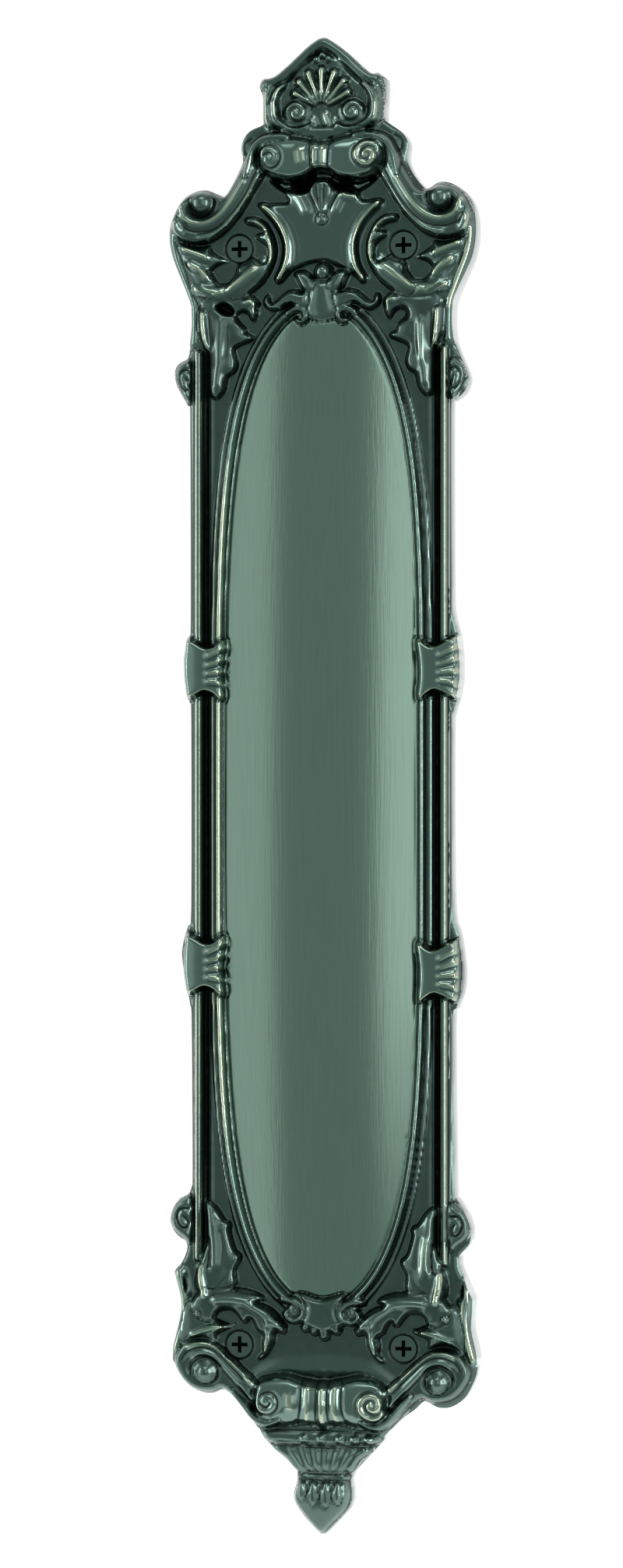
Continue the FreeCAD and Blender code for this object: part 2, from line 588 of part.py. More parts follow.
# Screw with countersunk head, cross recess, neck, slimmer threaded length and point
screws = []
back = FreeCAD.Vector(0, 1, 0)
head_top = ground_height - (sink_radius - head_radius) + seat_gap
head_tall = head_radius - neck_radius
neck_length = head_top + neck_reach
shank_length = screw_length - neck_length - point_length
half_long = cross_length / 2.0
half_wide = cross_width / 2.0
cross_floor = head_top - cross_depth
cross_top = head_top + 1.0
for place in screw_places:
    head = Part.makeCone(head_radius, neck_radius, head_tall, at_height(place, head_top), back)
    neck = Part.makeCylinder(neck_radius, neck_length, at_height(place, head_top), back)
    shank = Part.makeCylinder(shank_radius, shank_length, at_height(place, -neck_reach), back)
    tip_start = at_height(place, -neck_reach - shank_length)
    tip = Part.makeCone(shank_radius, tip_radius, point_length, tip_start, back)
    screw = head.fuse([neck, shank, tip]).removeSplitter()
    x = place[0]
    z = along(place[1])
    level = box(x - half_long, x + half_long, cross_floor, cross_top, z - half_wide, z + half_wide)
    upright = box(x - half_wide, x + half_wide, cross_floor, cross_top, z - half_long, z + half_long)
    screws.append(screw.cut(level.fuse(upright)))

# Origin in the middle of the four screws
lift = FreeCAD.Vector(0, 0, -0.5 * (along(screw_top) + along(screw_bottom)))
plate.translate(lift)
screw_group = Part.makeCompound(screws)
screw_group.translate(lift)

os.makedirs("parts", exist_ok=True)
plate.exportStep("parts/finger_plate.step")
screw_group.exportStep("parts/fixing_screws.step")
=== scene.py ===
"""Looks of a cast finger plate for a door: the carved relief as one mesh, its finish, light and camera."""
import math

import bpy
import numpy as np
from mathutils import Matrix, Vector


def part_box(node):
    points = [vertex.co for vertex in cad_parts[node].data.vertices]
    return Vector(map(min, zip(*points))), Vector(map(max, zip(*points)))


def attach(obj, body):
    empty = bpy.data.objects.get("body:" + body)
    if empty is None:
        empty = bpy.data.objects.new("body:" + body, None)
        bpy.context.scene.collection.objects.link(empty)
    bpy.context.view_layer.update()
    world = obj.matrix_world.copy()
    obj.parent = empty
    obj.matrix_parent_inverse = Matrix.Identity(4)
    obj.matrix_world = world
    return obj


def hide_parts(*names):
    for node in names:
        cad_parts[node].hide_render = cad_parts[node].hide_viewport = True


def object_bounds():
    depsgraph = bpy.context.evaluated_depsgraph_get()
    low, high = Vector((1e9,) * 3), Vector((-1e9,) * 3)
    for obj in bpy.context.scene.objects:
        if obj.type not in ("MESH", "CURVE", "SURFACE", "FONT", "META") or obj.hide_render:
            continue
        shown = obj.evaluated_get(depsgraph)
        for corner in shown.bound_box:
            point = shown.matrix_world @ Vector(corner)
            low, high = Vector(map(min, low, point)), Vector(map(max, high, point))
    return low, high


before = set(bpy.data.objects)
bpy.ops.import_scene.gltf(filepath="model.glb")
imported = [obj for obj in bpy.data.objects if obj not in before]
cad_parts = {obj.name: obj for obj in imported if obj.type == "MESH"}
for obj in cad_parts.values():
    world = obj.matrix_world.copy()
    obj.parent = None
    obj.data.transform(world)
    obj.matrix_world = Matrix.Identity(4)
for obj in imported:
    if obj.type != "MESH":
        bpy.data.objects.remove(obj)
cad_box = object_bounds()
scene = bpy.context.scene

# The drawing is in millimetres: x to the right, z up from the middle of the plate's length, and
# heights from the back plane towards the front. The frame's origin is the middle of the screws.
metre = 0.001
lift = 2.25
middle_x = 0.2

# Plate section
ground = 4.8
edge_round = 0.9
top_limit = 9.45
hole_radius = 1.7
sink_radius = 3.0
screw_x = 16.8
screw_top = 107.5
screw_bottom = -112.0
pocket_depth = 3.0
pocket_half_width = 21.5
pocket_top = 96.0
pocket_bottom = -101.0
pocket_corner = 8.0

# Cushion, with the roll and the bead round it as distances from its edge
cushion_half_width = 19.8
cushion_half_length = 99.7
cushion_middle = -4.2
cushion_arch = 3.5
cushion_rise = 4.3
oval_power = 4.4
roll_offset = 1.05
roll_half = 0.85
roll_rise = 2.0
bead_offset = 2.5
bead_half = 0.38
bead_rise = 0.9
roll_line_width = 0.3

# Seam of the cushion, a dark line of painted shade and patina. It fades towards the plain middle, where the
# roll is rubbed brighter, more on the left than the right: worn metal and a painted highlight.
plain_half = 88.0
plain_fade = 30.0
seam_offset = 0.05
seam_half = 0.28
seam_depth = 0.35
seam_depth_fade = 0.15
seam_shade_and_patina = 0.55
seam_shade_fade = 0.28
left_roll_rub_and_highlight = 0.7
right_roll_rub_and_highlight = 0.4

# Twin reeds, the deep groove beside them and the thin fillet
reed_x = 24.75
reed_ends = (-95.0, 87.0)
reed_half = 0.42
reed_rise = 1.5
outer_reed_step = 0.72
outer_reed_rise = 1.7
groove_step = 1.15
groove_half = 0.34
groove_depth = 1.2
fillet_x = 23.0
fillet_ends = (-84.0, 78.0)
fillet_half = 0.24
fillet_rise = 0.7

# Straps round the reeds, by their heights on the left and right, and crossbars
strap_places = [(23.2, 23.2), (-36.0, -37.0)]
strap_line_depth = 0.8
strap_line_width = 0.36
fold_places = (-4.0, -1.7, 0.7, 3.2)
bar_edge = 1.5
bar_line_depth = 0.9
bar_line_width = 0.3

# Grid of the relief: fine where the plate is carved, longer steps along the plain middle
pitch = 0.25
plain_pitch = 1.0
grid_left = -32.0
grid_right = 32.6
carved_stretches = [(-151.0, -70.0), (-45.5, -27.5), (14.0, 33.0), (68.0, 151.0)]
triangle_limit = 190000

# Patina and painted shade, from none at 0 to black at 1. Bright rubbed metal, partly a painted highlight,
# shows below the rubbed highlight share.
ground_patina = 0.6
raised_patina = 0.54
bar_patina = 0.24
reed_patina = 0.16
# The outer reeds are lighter than the inner ones, the right one most: a painted highlight.
left_outer_reed_painted_highlight = 0.12
right_outer_reed_painted_highlight = 0.0
wall_painted_bright_tone = 0.15
rubbed_highlight_share = 0.13

# Black line round the foot of each form, painted shade and patina, the step at a leaf's edge, and how forms
# are traced
line_width = 0.23
line_depth = 0.6
sink_line_width = 0.25
inner_line_shade_and_patina = 0.8
inner_line_share = 0.6
leaf_line_share = 1.1
leaf_step = 0.4
leaf_step_width = 0.5
foot_margin = 1.5
rib_margin = 3.5
points_a_turn = 14

# Softening, the darkening of hollows as painted shade and patina, and how far both reach onto the cushion
soft_passes = 3
soft_reach = 1.0
recess_reach = 0.3
recess_passes = 10
recess_limit = 0.6
recess_shade_and_patina = 0.34

# Limits that tell the faces apart, and the scale of the texture map
wall_height = 3.6
front_height = 4.0
wall_facing = 0.6
front_facing = 0.2
sharp_angle = 50.0
painted_bright_wall_slot = 2
uv_scale = 0.01

# Grain of the metal: scale of the noise, how much it wears the patina, and its bump
cast_grain = {"scale": (500.0, 500.0, 500.0), "wear": 0.16, "start": -0.08, "bump": 0.04}
brushed_grain = {"scale": (3000.0, 3000.0, 60.0), "wear": 0.3, "start": -0.12, "bump": 0.35}
grain_depth = 0.00005
# Depth below the screw heads where the painted shade of the slots starts, and over how much it turns black
slot_step = 0.0001
slot_shade_fade = 0.0003

# Outline of the plate, from the apex down the left side and up the right one
plate_outline = [
    (0.2, 149.3), (-1.3, 148.5), (-3.2, 147.1), (-9.4, 141.9), (-11.7, 141.5), (-12.5, 140.6),
    (-12.7, 139.7), (-11.8, 137.2), (-11.8, 133), (-12.1, 132.2), (-14.4, 131.3), (-15.6, 130.2),
    (-16.4, 128.6), (-16.5, 127.2), (-16.2, 125.6), (-16.5, 124), (-19.4, 118.4), (-20.2, 118.1),
    (-22.7, 119.2), (-24.2, 119.5), (-26.2, 119.1), (-28.3, 117.8), (-30, 115.5), (-31, 112.4), (-31.2, 110),
    (-30.8, 107.4), (-29.9, 104.6), (-26.8, 97.2), (-26.5, 94.8), (-26.5, 91.8), (-27.3, 86.6),
    (-27.8, 85.6), (-28.9, 85.1), (-29.9, 84.2), (-30.3, 82.8), (-30, 80.9), (-29.1, 78.9), (-27.4, 76),
    (-27.1, 74), (-27, 34), (-27.3, 30), (-28.2, 26.5), (-28.3, 23.5), (-27.9, 20), (-27.2, 16.5),
    (-26.9, 13), (-26.9, -24.5), (-27.5, -28), (-28.6, -31.8), (-28.7, -35.5), (-27.1, -44), (-26.8, -48),
    (-26.6, -77), (-26.8, -80.5), (-27.5, -82.1), (-29.1, -82.9), (-30.5, -84.7), (-31.2, -87.2),
    (-30.5, -89.4), (-29.2, -90.8), (-28.2, -91.3), (-27.7, -92.3), (-27.9, -93.8), (-28.8, -95.8),
    (-29.9, -97.2), (-30, -98), (-28.9, -102), (-28.6, -104.2), (-28.9, -106.8), (-30.7, -114.4),
    (-30.3, -116.2), (-29.2, -118.4), (-27.4, -120.4), (-25.3, -121.5), (-23.7, -121.9), (-22, -121.8),
    (-20.2, -121.1), (-19.2, -121.6), (-17.9, -122.7), (-13.6, -127.8), (-12.5, -128.4), (-12.1, -129.1),
    (-11.9, -130.2), (-11.3, -131.1), (-5.4, -136.3), (-4.9, -137.4), (-4.8, -138.6), (-5.6, -141),
    (-5.6, -142.4), (-5.1, -143.8), (-3.2, -146.4), (-0.3, -149.2), (0.3, -149.4), (1, -149.2),
    (5.3, -144.7), (6, -143.4), (6.4, -141.8), (6.1, -138.7), (6.3, -137.8), (7, -136.5), (12.3, -130.8),
    (13.5, -129), (16.4, -126), (18.9, -124.2), (20.3, -122.8), (21.3, -122.4), (23.4, -123.4),
    (24.6, -123.6), (26.4, -123.4), (28.3, -122.3), (29.7, -120.8), (30.9, -118.5), (31.6, -116.5),
    (31.8, -114.5), (31.6, -112.3), (30.6, -107.8), (30.8, -103), (30.6, -101.2), (28.3, -96), (28.1, -94.4),
    (28.1, -93.2), (29.6, -91.6), (30.2, -90.6), (30.4, -89), (30.3, -87.3), (29.5, -85.2), (27.5, -82),
    (27.1, -80.5), (26.7, -48), (27.4, -44.3), (28.6, -41), (28.9, -37.5), (28.6, -33.5), (27.8, -29),
    (26.8, -25), (26.5, -10), (26.5, 11), (26.8, 14.5), (27.7, 17.5), (28.3, 21), (28.3, 25.5), (27.8, 30),
    (26.8, 34), (26.5, 40), (26.4, 74), (26.9, 76.4), (28.2, 77.3), (29.2, 78.4), (29.8, 80), (29.8, 81.6),
    (27.5, 87.3), (27, 89.6), (26.8, 92.4), (26.9, 94.8), (27.4, 97.2), (30.3, 103.6), (31.1, 106),
    (31.5, 108.3), (31.6, 110.8), (31.4, 113.2), (30.7, 115.6), (29.6, 117.3), (28.2, 118.6), (26.4, 119.6),
    (24.5, 119.9), (23.2, 119.5), (22.3, 118.8), (21.4, 118.6), (20.4, 119.4), (19, 121.2), (18, 123),
    (17.4, 125), (17.7, 127.2), (17.3, 128.8), (16, 130.3), (13.3, 132.2), (12.9, 133.2), (13.2, 140),
    (12.6, 141.2), (11.4, 142), (9.9, 142), (5.4, 146.1), (1.5, 149),
]


def row_lines():
    lines = [carved_stretches[0][0]]
    while lines[-1] < carved_stretches[-1][1]:
        carved = any(low <= lines[-1] <= high for low, high in carved_stretches)
        lines.append(lines[-1] + (pitch if carved else plain_pitch))
    return np.array(lines)


across = np.arange(grid_left, grid_right, pitch)
up = row_lines()
grid_x, grid_z = np.meshgrid(across, up)
height = np.full(grid_x.shape, ground)
patina_and_painted_light = np.full(grid_x.shape, ground_patina)
brushed = np.zeros(grid_x.shape)


def mirrored(points, axis, rise):
    return [(2.0 * axis - x, z + rise) for x, z in points]


def moved(points, right, rise):
    return [(x + right, z + rise) for x, z in points]


def flowing(points, closed=False, steps=4):
    """A smooth line through the points, as a Catmull-Rom curve."""
    if closed:
        ring = points[-1:] + points + points[:2]
    else:
        ring = points[:1] + points + points[-1:]
    line = []
    for near in zip(ring, ring[1:], ring[2:], ring[3:]):
        for j in range(steps):
            t = j / steps
            weights = (
                -0.5 * t + t * t - 0.5 * t ** 3, 1.0 - 2.5 * t * t + 1.5 * t ** 3,
                0.5 * t + 2.0 * t * t - 1.5 * t ** 3, -0.5 * t * t + 0.5 * t ** 3,
            )
            line.append(tuple(sum(w * p[k] for w, p in zip(weights, near)) for k in (0, 1)))
    if not closed:
        line.append(points[-1])
    return line


def region_of(points, margin=foot_margin):
    """Rows and columns of the grid near the points."""
    xs, zs = zip(*points)
    left, right = np.searchsorted(across, (min(xs) - margin, max(xs) + margin))
    low, high = np.searchsorted(up, (min(zs) - margin, max(zs) + margin))
    return slice(low, high), slice(left, right)


def path_distance(points, region):
    """Distance of each grid point to a path, and its place along the path."""
    x = grid_x[region]
    z = grid_z[region]
    nearest = np.full(x.shape, 1e9)
    place = np.zeros(x.shape)
    for i, ((from_x, from_z), (to_x, to_z)) in enumerate(zip(points, points[1:])):
        run = to_x - from_x
        climb = to_z - from_z
        square = max(run * run + climb * climb, 1e-9)
        part = np.clip(((x - from_x) * run + (z - from_z) * climb) / square, 0.0, 1.0)
        distance = np.hypot(x - from_x - part * run, z - from_z - part * climb)
        nearer = distance < nearest
        nearest = np.where(nearer, distance, nearest)
        place = np.where(nearer, i + part, place)
    return nearest, place / max(len(points) - 1, 1)


def edge_distance(points, region):
    """Distance of each grid point to a closed outline, negative inside it."""
    x = grid_x[region]
    z = grid_z[region]
    ring = points + points[:1]
    nearest, _ = path_distance(ring, region)
    inside = np.zeros(x.shape, bool)
    for (ax, az), (bx, bz) in zip(ring[:-1], ring[1:]):
        if az == bz:
            continue
        spans = (az > z) != (bz > z)
        inside ^= spans & (x < ax + (z - az) * (bx - ax) / (bz - az))
    return np.where(inside, -nearest, nearest)


def dome(depth, width):
    """Quarter-round profile: 0 at the edge, 1 at the given width inside it."""
    share = np.clip(depth / width, 0.0, 1.0)
    return np.sqrt(1.0 - (1.0 - share) ** 2)


def half_round(distance, half):
    """Half-round profile: 1 on the middle line, 0 at the half width."""
    share = np.clip(distance / half, 0.0, 1.0)
    return np.sqrt(1.0 - share ** 2)


def settle(
    region, away, top, bright=raised_patina, depth=line_depth, width=line_width, inward=inner_line_share,
):
    """Lays a raised form into the relief, with a narrow black line round its foot, painted shade and antique
    darkening.
    """
    foot = np.exp(-(away / width) ** 2)
    inner_line = inner_line_shade_and_patina * np.exp(-(away / (inward * width)) ** 2)
    old = height[region]
    shown = (away < 0.0) & (top >= old)
    height[region] = np.where(shown, top, old - np.where(away < 0.0, 0.0, depth * foot))
    brushed[region] = np.where(shown, 0.0, brushed[region])
    outside = np.maximum(patina_and_painted_light[region], foot * (away >= 0.0))
    patina_and_painted_light[region] = np.where(shown, np.maximum(bright, inner_line), outside)


def outlined(points):
    """The grid near a smooth closed outline, and the distance of its points to it."""
    line = flowing(points, True)
    region = region_of(line)
    return region, edge_distance(line, region)


def leaf(points, rise, edge=3.5, bright=raised_patina):
    """A raised form with a low step at its edge and a soft dome inside."""
    region, away = outlined(points)
    profile = leaf_step * dome(-away, leaf_step_width) + (1.0 - leaf_step) * dome(-away, edge)
    settle(region, away, ground + rise * profile, bright, inward=leaf_line_share)


def rib(points, halves, rise, bright=raised_patina, depth=line_depth):
    """A half-round ridge along a line, with one half width or several along it."""
    line = flowing(points)
    region = region_of(line, rib_margin)
    distance, place = path_distance(line, region)
    halves = np.atleast_1d(halves)
    half = np.interp(place, np.linspace(0.0, 1.0, len(halves)), halves)
    settle(region, distance - half, ground + rise * half_round(distance, half), bright, depth)


def boss(points, radius, rise, bright=raised_patina, depth=line_depth):
    """A round boss at each of the points."""
    for x, z in points:
        region = region_of([(x, z)], radius + foot_margin)
        distance = np.hypot(grid_x[region] - x, grid_z[region] - z)
        top = ground + rise * half_round(distance, radius)
        settle(region, distance - radius, top, bright, depth)


def spiral(x, z, inner, outer, turns, start, hand):
    """Points of a spiral that winds inwards from its start, an angle in degrees."""
    count = int(points_a_turn * turns) + 1
    points = []
    for i in range(count):
        part = i / (count - 1)
        radius = outer + (inner - outer) * part
        angle = math.radians(start) + hand * 2.0 * math.pi * turns * part
        points.append((x + radius * math.cos(angle), z + radius * math.sin(angle)))
    return points


def swell(points, half, rise, rub_and_highlight=0.6):
    """Adds a soft ridge to what is there, and lightens it along the ridge: worn metal and a painted
    highlight.
    """
    line = flowing(points)
    region = region_of(line, half + 0.5)
    distance, _ = path_distance(line, region)
    ridge = (1.0 - np.clip(distance / half, 0.0, 1.0) ** 2) ** 2
    height[region] += rise * ridge
    patina_and_painted_light[region] *= 1.0 - rub_and_highlight * ridge


def crease(points, half=0.3, depth=0.5, dark=0.9):
    """Cuts a narrow line into what is there and darkens it: painted shade and antique darkening."""
    line = flowing(points)
    region = region_of(line, 3.0 * half + 0.3)
    distance, _ = path_distance(line, region)
    mark = np.exp(-(distance / half) ** 2)
    height[region] -= depth * mark
    patina_and_painted_light[region] = np.maximum(patina_and_painted_light[region], dark * mark)


def volute(x, z, start, hand, groove, line, ridge, top):
    """A spiral groove and the ridge beside it, each by its inner and outer radius and its turns."""
    crease(spiral(x, z, *groove, start, hand), *line)
    swell(spiral(x, z, *ridge, start, hand), *top)


def sunk(points, depth, edge=0.8, fade=0.4):
    """Sinks an outline into what is there and blackens it with painted shade and antique darkening."""
    region, away = outlined(points)
    height[region] -= depth * dome(-away, edge) * (away < 0.0)
    patina_and_painted_light[region] = np.maximum(patina_and_painted_light[region], np.clip(-away / fade + 0.5, 0.0, 1.0))


def oval_line(count=160):
    """Edge of the cushion, a superellipse."""
    points = []
    for i in range(count):
        turn = 2.0 * math.pi * i / count
        rise = math.sin(turn)
        z = cushion_half_length * math.copysign(abs(rise) ** (2.0 / oval_power), rise)
        points.append((cushion_half_width * math.cos(turn), cushion_middle + z))
    return points


everywhere = (slice(None), slice(None))
plate_away = edge_distance(flowing(plate_outline, True, 3), everywhere)
oval_away = edge_distance(oval_line(), everywhere)

# Cushion with its roll, bead and seam
arch_across = cushion_arch * (grid_x / cushion_half_width) ** 2
arch_along = cushion_arch * ((grid_z - cushion_middle) / cushion_half_length) ** 2
top = ground + cushion_rise - arch_across - arch_along
plain = np.clip((plain_half - np.abs(grid_z - cushion_middle)) / plain_fade, 0.0, 1.0)
# The roll is lighter in the plain middle, more on the left: rubbed wear and a painted highlight.
rub_and_highlight = np.where(grid_x < 0.0, left_roll_rub_and_highlight, right_roll_rub_and_highlight)
bright = raised_patina * (1.0 - rub_and_highlight * plain)
for offset, half, rise in ((bead_offset, bead_half, bead_rise), (roll_offset, roll_half, roll_rise)):
    distance = np.abs(oval_away - offset)
    roll = ground + rise * half_round(distance, half)
    settle(everywhere, distance - half, roll, bright, width=roll_line_width)
inside = oval_away < 0.0
height[inside] = top[inside]
brushed[inside] = 1.0
patina_and_painted_light[inside] = 0.0
# The seam is darkened: painted shade and patina.
seam = np.exp(-((oval_away - seam_offset) / seam_half) ** 2)
height[:] -= seam * (seam_depth - seam_depth_fade * plain)
patina_and_painted_light[:] = np.maximum(patina_and_painted_light, seam * (seam_shade_and_patina - seam_shade_fade * plain))

# Reeds, groove and fillet
for side, outer_reed_painted_highlight in ((-1.0, left_outer_reed_painted_highlight), (1.0, right_outer_reed_painted_highlight)):
    reed = [(side * reed_x, z) for z in reed_ends]
    rib(reed, reed_half, reed_rise, reed_patina)
    rib(moved(reed, side * outer_reed_step, 0.0), reed_half, outer_reed_rise, outer_reed_painted_highlight)
    crease(moved(reed, side * -groove_step, 0.0), groove_half, groove_depth, 1.0)
    rib([(side * fillet_x, z) for z in fillet_ends], fillet_half, fillet_rise)

# Straps with their folds
strap = [
    (-27.4, 6.6), (-28, 3.6), (-28.2, 0.3), (-28, -3.2), (-27.2, -6), (-23.2, -4.6), (-20.4, -6.2),
    (-19.4, -5.4), (-19.8, -0.6), (-19.2, 5.4), (-20.3, 5.9), (-23, 4.7),
]


def lay_strap(
    points, middle_x, middle_z, rise=1.9, bow=1.3, half_width=6.0, half_height=6.5, waist=0.16, edge=0.9,
):
    """A strap that bows across its width and is a little lower at its waist."""
    region, away = outlined(points)
    arch = rise + bow * (1.0 - ((grid_x[region] - middle_x) / half_width) ** 2)
    spread = np.clip(((grid_z[region] - middle_z) / half_height) ** 2, 0.0, 1.0)
    top = ground + arch * (1.0 - waist + waist * spread) * dome(-away, edge)
    settle(region, away, top, bar_patina, strap_line_depth, strap_line_width)


def pleats(from_x, to_x, middle_z):
    """Folds that fan out over half a strap, each a crease with a soft ridge above it."""
    for place in fold_places:
        wave = 0.5 * math.sin(3.0 * place)
        fold = [
            (from_x, middle_z + 1.1 * place + wave), (0.5 * (from_x + to_x), middle_z + 0.85 * place),
            (to_x, middle_z + 0.7 * place - 0.4),
        ]
        crease(fold, 0.3, 0.4, 0.6)
        swell(moved(fold, 0.0, 0.9), 0.9, 0.6, 0.4)


for left_z, right_z in strap_places:
    lay_strap(moved(strap, 0.0, left_z), -23.2, left_z)
    lay_strap(mirrored(strap, middle_x, right_z), 23.6, right_z)
    pleats(-19.3, -22.6, left_z)
    pleats(28.0, 24.8, right_z)


def both(form, points, *sizes, axis=middle_x, rise=0.0):
    """A form on the left and its mirrored partner, which may lie a little lower."""
    form(points, *sizes)
    form(mirrored(points, axis, rise), *sizes)


def lay_bar(points, middle_z, radius, rise):
    """A crossbar: a barrel that lies level."""
    region, away = outlined(points)
    drop = radius - np.sqrt(np.maximum(radius ** 2 - (grid_z[region] - middle_z) ** 2, 0.0))
    top = ground + (rise - drop) * dome(-away, bar_edge)
    settle(region, away, top, bar_patina, bar_line_depth, bar_line_width)


def lay_ears(outline, hook, rise, edge, right_rise):
    """Scrolls at both sides of the plate, with a hooked crease."""
    both(leaf, outline, rise, edge, axis=-0.2, rise=right_rise)
    both(crease, hook, 0.3, 0.9, 1.0, axis=-0.2, rise=right_rise)


# Carving. After the points come a leaf's rise, edge width and patina, a rib's half widths, rise and patina, a
# boss's radius and rise, a swell's half width, rise and how bright it is rubbed, partly a painted highlight,
# a crease's half width, depth and darkness, painted shade and patina.

# Crest: roof moulding, shell, and a scroll on each side
roof = [
    (-11.4, 140.4), (-9, 140.9), (-6.6, 142.7), (-4.6, 144.5), (-2, 147), (0.3, 148.2), (2.7, 147.1),
    (5.4, 144.9), (7.6, 142.8), (9.6, 141.1), (11.8, 140.4),
]
rib(roof, 1.25, 0.9)
crease([(-9.6, 139.7), (-7.4, 140.4), (-5.6, 142.2), (-4, 143.6), (-1.2, 145.9), (0.4, 146.6)], 0.22, 0.5)
crease([(9.6, 139.7), (8, 140.5), (6.4, 142.1), (4, 144.1), (1.8, 146), (0.4, 146.6)], 0.22, 0.5)
field = [(-11.2, 139.2), (-7.4, 140.2), (0.4, 146.2), (8, 140.3), (12, 139.2), (11.4, 131.6), (-10.8, 131.6)]
leaf(field, 0.7, 3.0, 0.5)
for step in range(-3, 4):
    angle = math.radians(20.0) * step
    reach = 8.6 - 0.16 * step * step
    radii = (1.4, 0.6 * reach, reach - 0.9)
    lobe = [(0.4 + math.sin(angle) * radius, 134.9 + math.cos(angle) * radius) for radius in radii]
    rib(lobe, [0.25, 0.8, 1.15], 1.9, 0.3)
    swell(lobe, 0.65, 0.35, 0.9)
boss([(-0.9, 144.9), (1.6, 144.9), (0.4, 145.8)], 0.8, 1.7)
scroll = [(-7.2, 140), (-8.9, 138.2), (-9.5, 135.4), (-9, 132.9), (-6.9, 131.3), (-4.4, 130.8), (-2, 131.7)]
both(rib, scroll, [0.5, 0.9, 1.1, 1.1, 1.0, 0.8, 0.5], 2.2, axis=0.75)
for x, hand in ((-4.7, -1.0), (6.6, 1.0)):
    boss([(x, 134.2)], 3.0, 1.9, depth=0.3)
    start = 90.0 - 70.0 * hand
    volute(x, 134.2, start, hand, (0.8, 2.7, 1.4), (0.24, 0.5), (0.2, 2.1, 1.3), (0.75, 0.5))
swell([(1.4, 145.7), (5.2, 143.7), (8.3, 140.8)], 0.7, 0.7)
for x, z in ((-1.4, 131.8), (1.2, 132.6), (3.0, 131.4)):
    swell([(x, z + 1.2), (x + 0.6, z - 0.9)], 0.8, 0.7, 0.8)
both(swell, [(-11, 139.6), (-11.2, 136.6), (-11, 133.4), (-10.4, 131.4)], 1.1, 0.9, axis=0.3)
both(boss, [(-11.6, 140.2)], 0.8, 1.2, axis=0.4)
# Low ridges rubbed bright on the left scroll only: painted highlights.
swell([(-8.4, 139), (-9, 137.6)], 0.7, 0.3, 0.9)
swell([(-9.4, 136.2), (-9.2, 134.2)], 1.0, 0.4, 0.9)
fold = [(-14.2, 129.6), (-15.6, 128.6), (-15.7, 126.9), (-14.9, 126.3), (-14.6, 127.4)]
both(crease, fold, 0.26, 0.6, axis=0.4)

# Shield with rolled sides and a tassel
shield = [
    (-12.4, 116.5), (-6.9, 116.4), (-6.8, 117.2), (-7.6, 119.2), (-3.4, 120.2), (0.3, 120.6), (4, 120.2),
    (7.6, 118.4), (8.5, 116.6), (12.3, 116.9), (12.7, 116.1), (9.2, 112.8), (7.5, 109), (7.7, 104.6),
    (9.2, 101), (8.5, 100.1), (5.6, 102.6), (0.3, 104.6), (-5.2, 103.2), (-8, 100.6), (-9.3, 101),
    (-7.9, 104.9), (-7.8, 109), (-10.2, 113.3), (-12.8, 115.9),
]
leaf(shield, 1.3, 2.4, 0.42)
side = [
    (-11.6, 115.7), (-9.6, 113.9), (-7.9, 111.7), (-6.6, 108.2), (-6.6, 105.4), (-7.4, 102.8), (-8.6, 101.2),
]
both(swell, side, 1.1, 1.0, 0.75)
both(crease, moved(side, 1.9, 0.1)[1:6], 0.3, 0.2, 0.2)
tassel = [
    (-2.2, 120.4), (0.3, 120.9), (2.8, 120.4), (2.9, 118.2), (1.9, 116), (1.3, 114.2), (0.4, 113.4),
    (-0.5, 114.2), (-1.2, 116), (-2.3, 118.2),
]
leaf(tassel, 2.4, 1.6)
crease([(-0.6, 119.8), (-0.3, 117.2), (0, 115)], 0.24, 0.5)
crease([(1.2, 119.8), (1, 117.2), (0.8, 115)], 0.24, 0.5)
boss([(0.4, 112.9)], 1.15, 2.0)
both(swell, [(-5.6, 119), (-4, 117.2), (-2.8, 114.8)], 1.3, 0.8)
swell([(4.2, 118.8), (5.8, 117.4), (7.6, 117.2)], 0.9, 0.8)

# Neck: strips that run from the crossbar to the shoulder balls, with two ridges each
strip = [
    (-12.3, 126.6), (-11.4, 129.4), (-13.4, 128.8), (-15, 126.2), (-16.2, 123.6), (-17.8, 120.8),
    (-19.6, 118.3), (-21.4, 118.5), (-24.2, 119.3), (-27.6, 118.2), (-29.7, 115.6), (-30.4, 112.4),
    (-28.8, 109.6), (-26.5, 108.7), (-23.5, 108.8), (-20.4, 110.2), (-16.8, 113.8), (-13.3, 119.3),
    (-11.4, 122.4), (-12.4, 124.4),
]
both(leaf, strip, 2.2, 1.5, 0.58)
ridge = [
    (-13.6, 126.6), (-14.3, 123.4), (-16.3, 119.6), (-18.9, 115.6), (-21.4, 113.4), (-24.2, 112.5),
    (-27.2, 113.4), (-28.5, 116),
]
both(swell, ridge, 1.0, 0.9, 0.85)
valley = [
    (-12.5, 124), (-13.4, 121.6), (-15.3, 117.9), (-18.3, 113.9), (-21.4, 111.5), (-25, 110.9), (-28, 112),
    (-29.3, 114.2),
]
both(crease, valley, 0.26, 0.55, 0.9)
both(swell, [(-12.6, 121.4), (-16.2, 115.4), (-20.6, 110.9), (-24.6, 109.7)], 0.7, 0.5)
eye = [(-21.2, 117.6), (-22.2, 114.6), (-24.2, 113.5), (-26.4, 114.4), (-27, 116.8), (-24.2, 117.4)]
both(sunk, eye, 0.7)
boss([(-24.2, 116.7), (24.5, 116.7)], 2.6, 3.5)

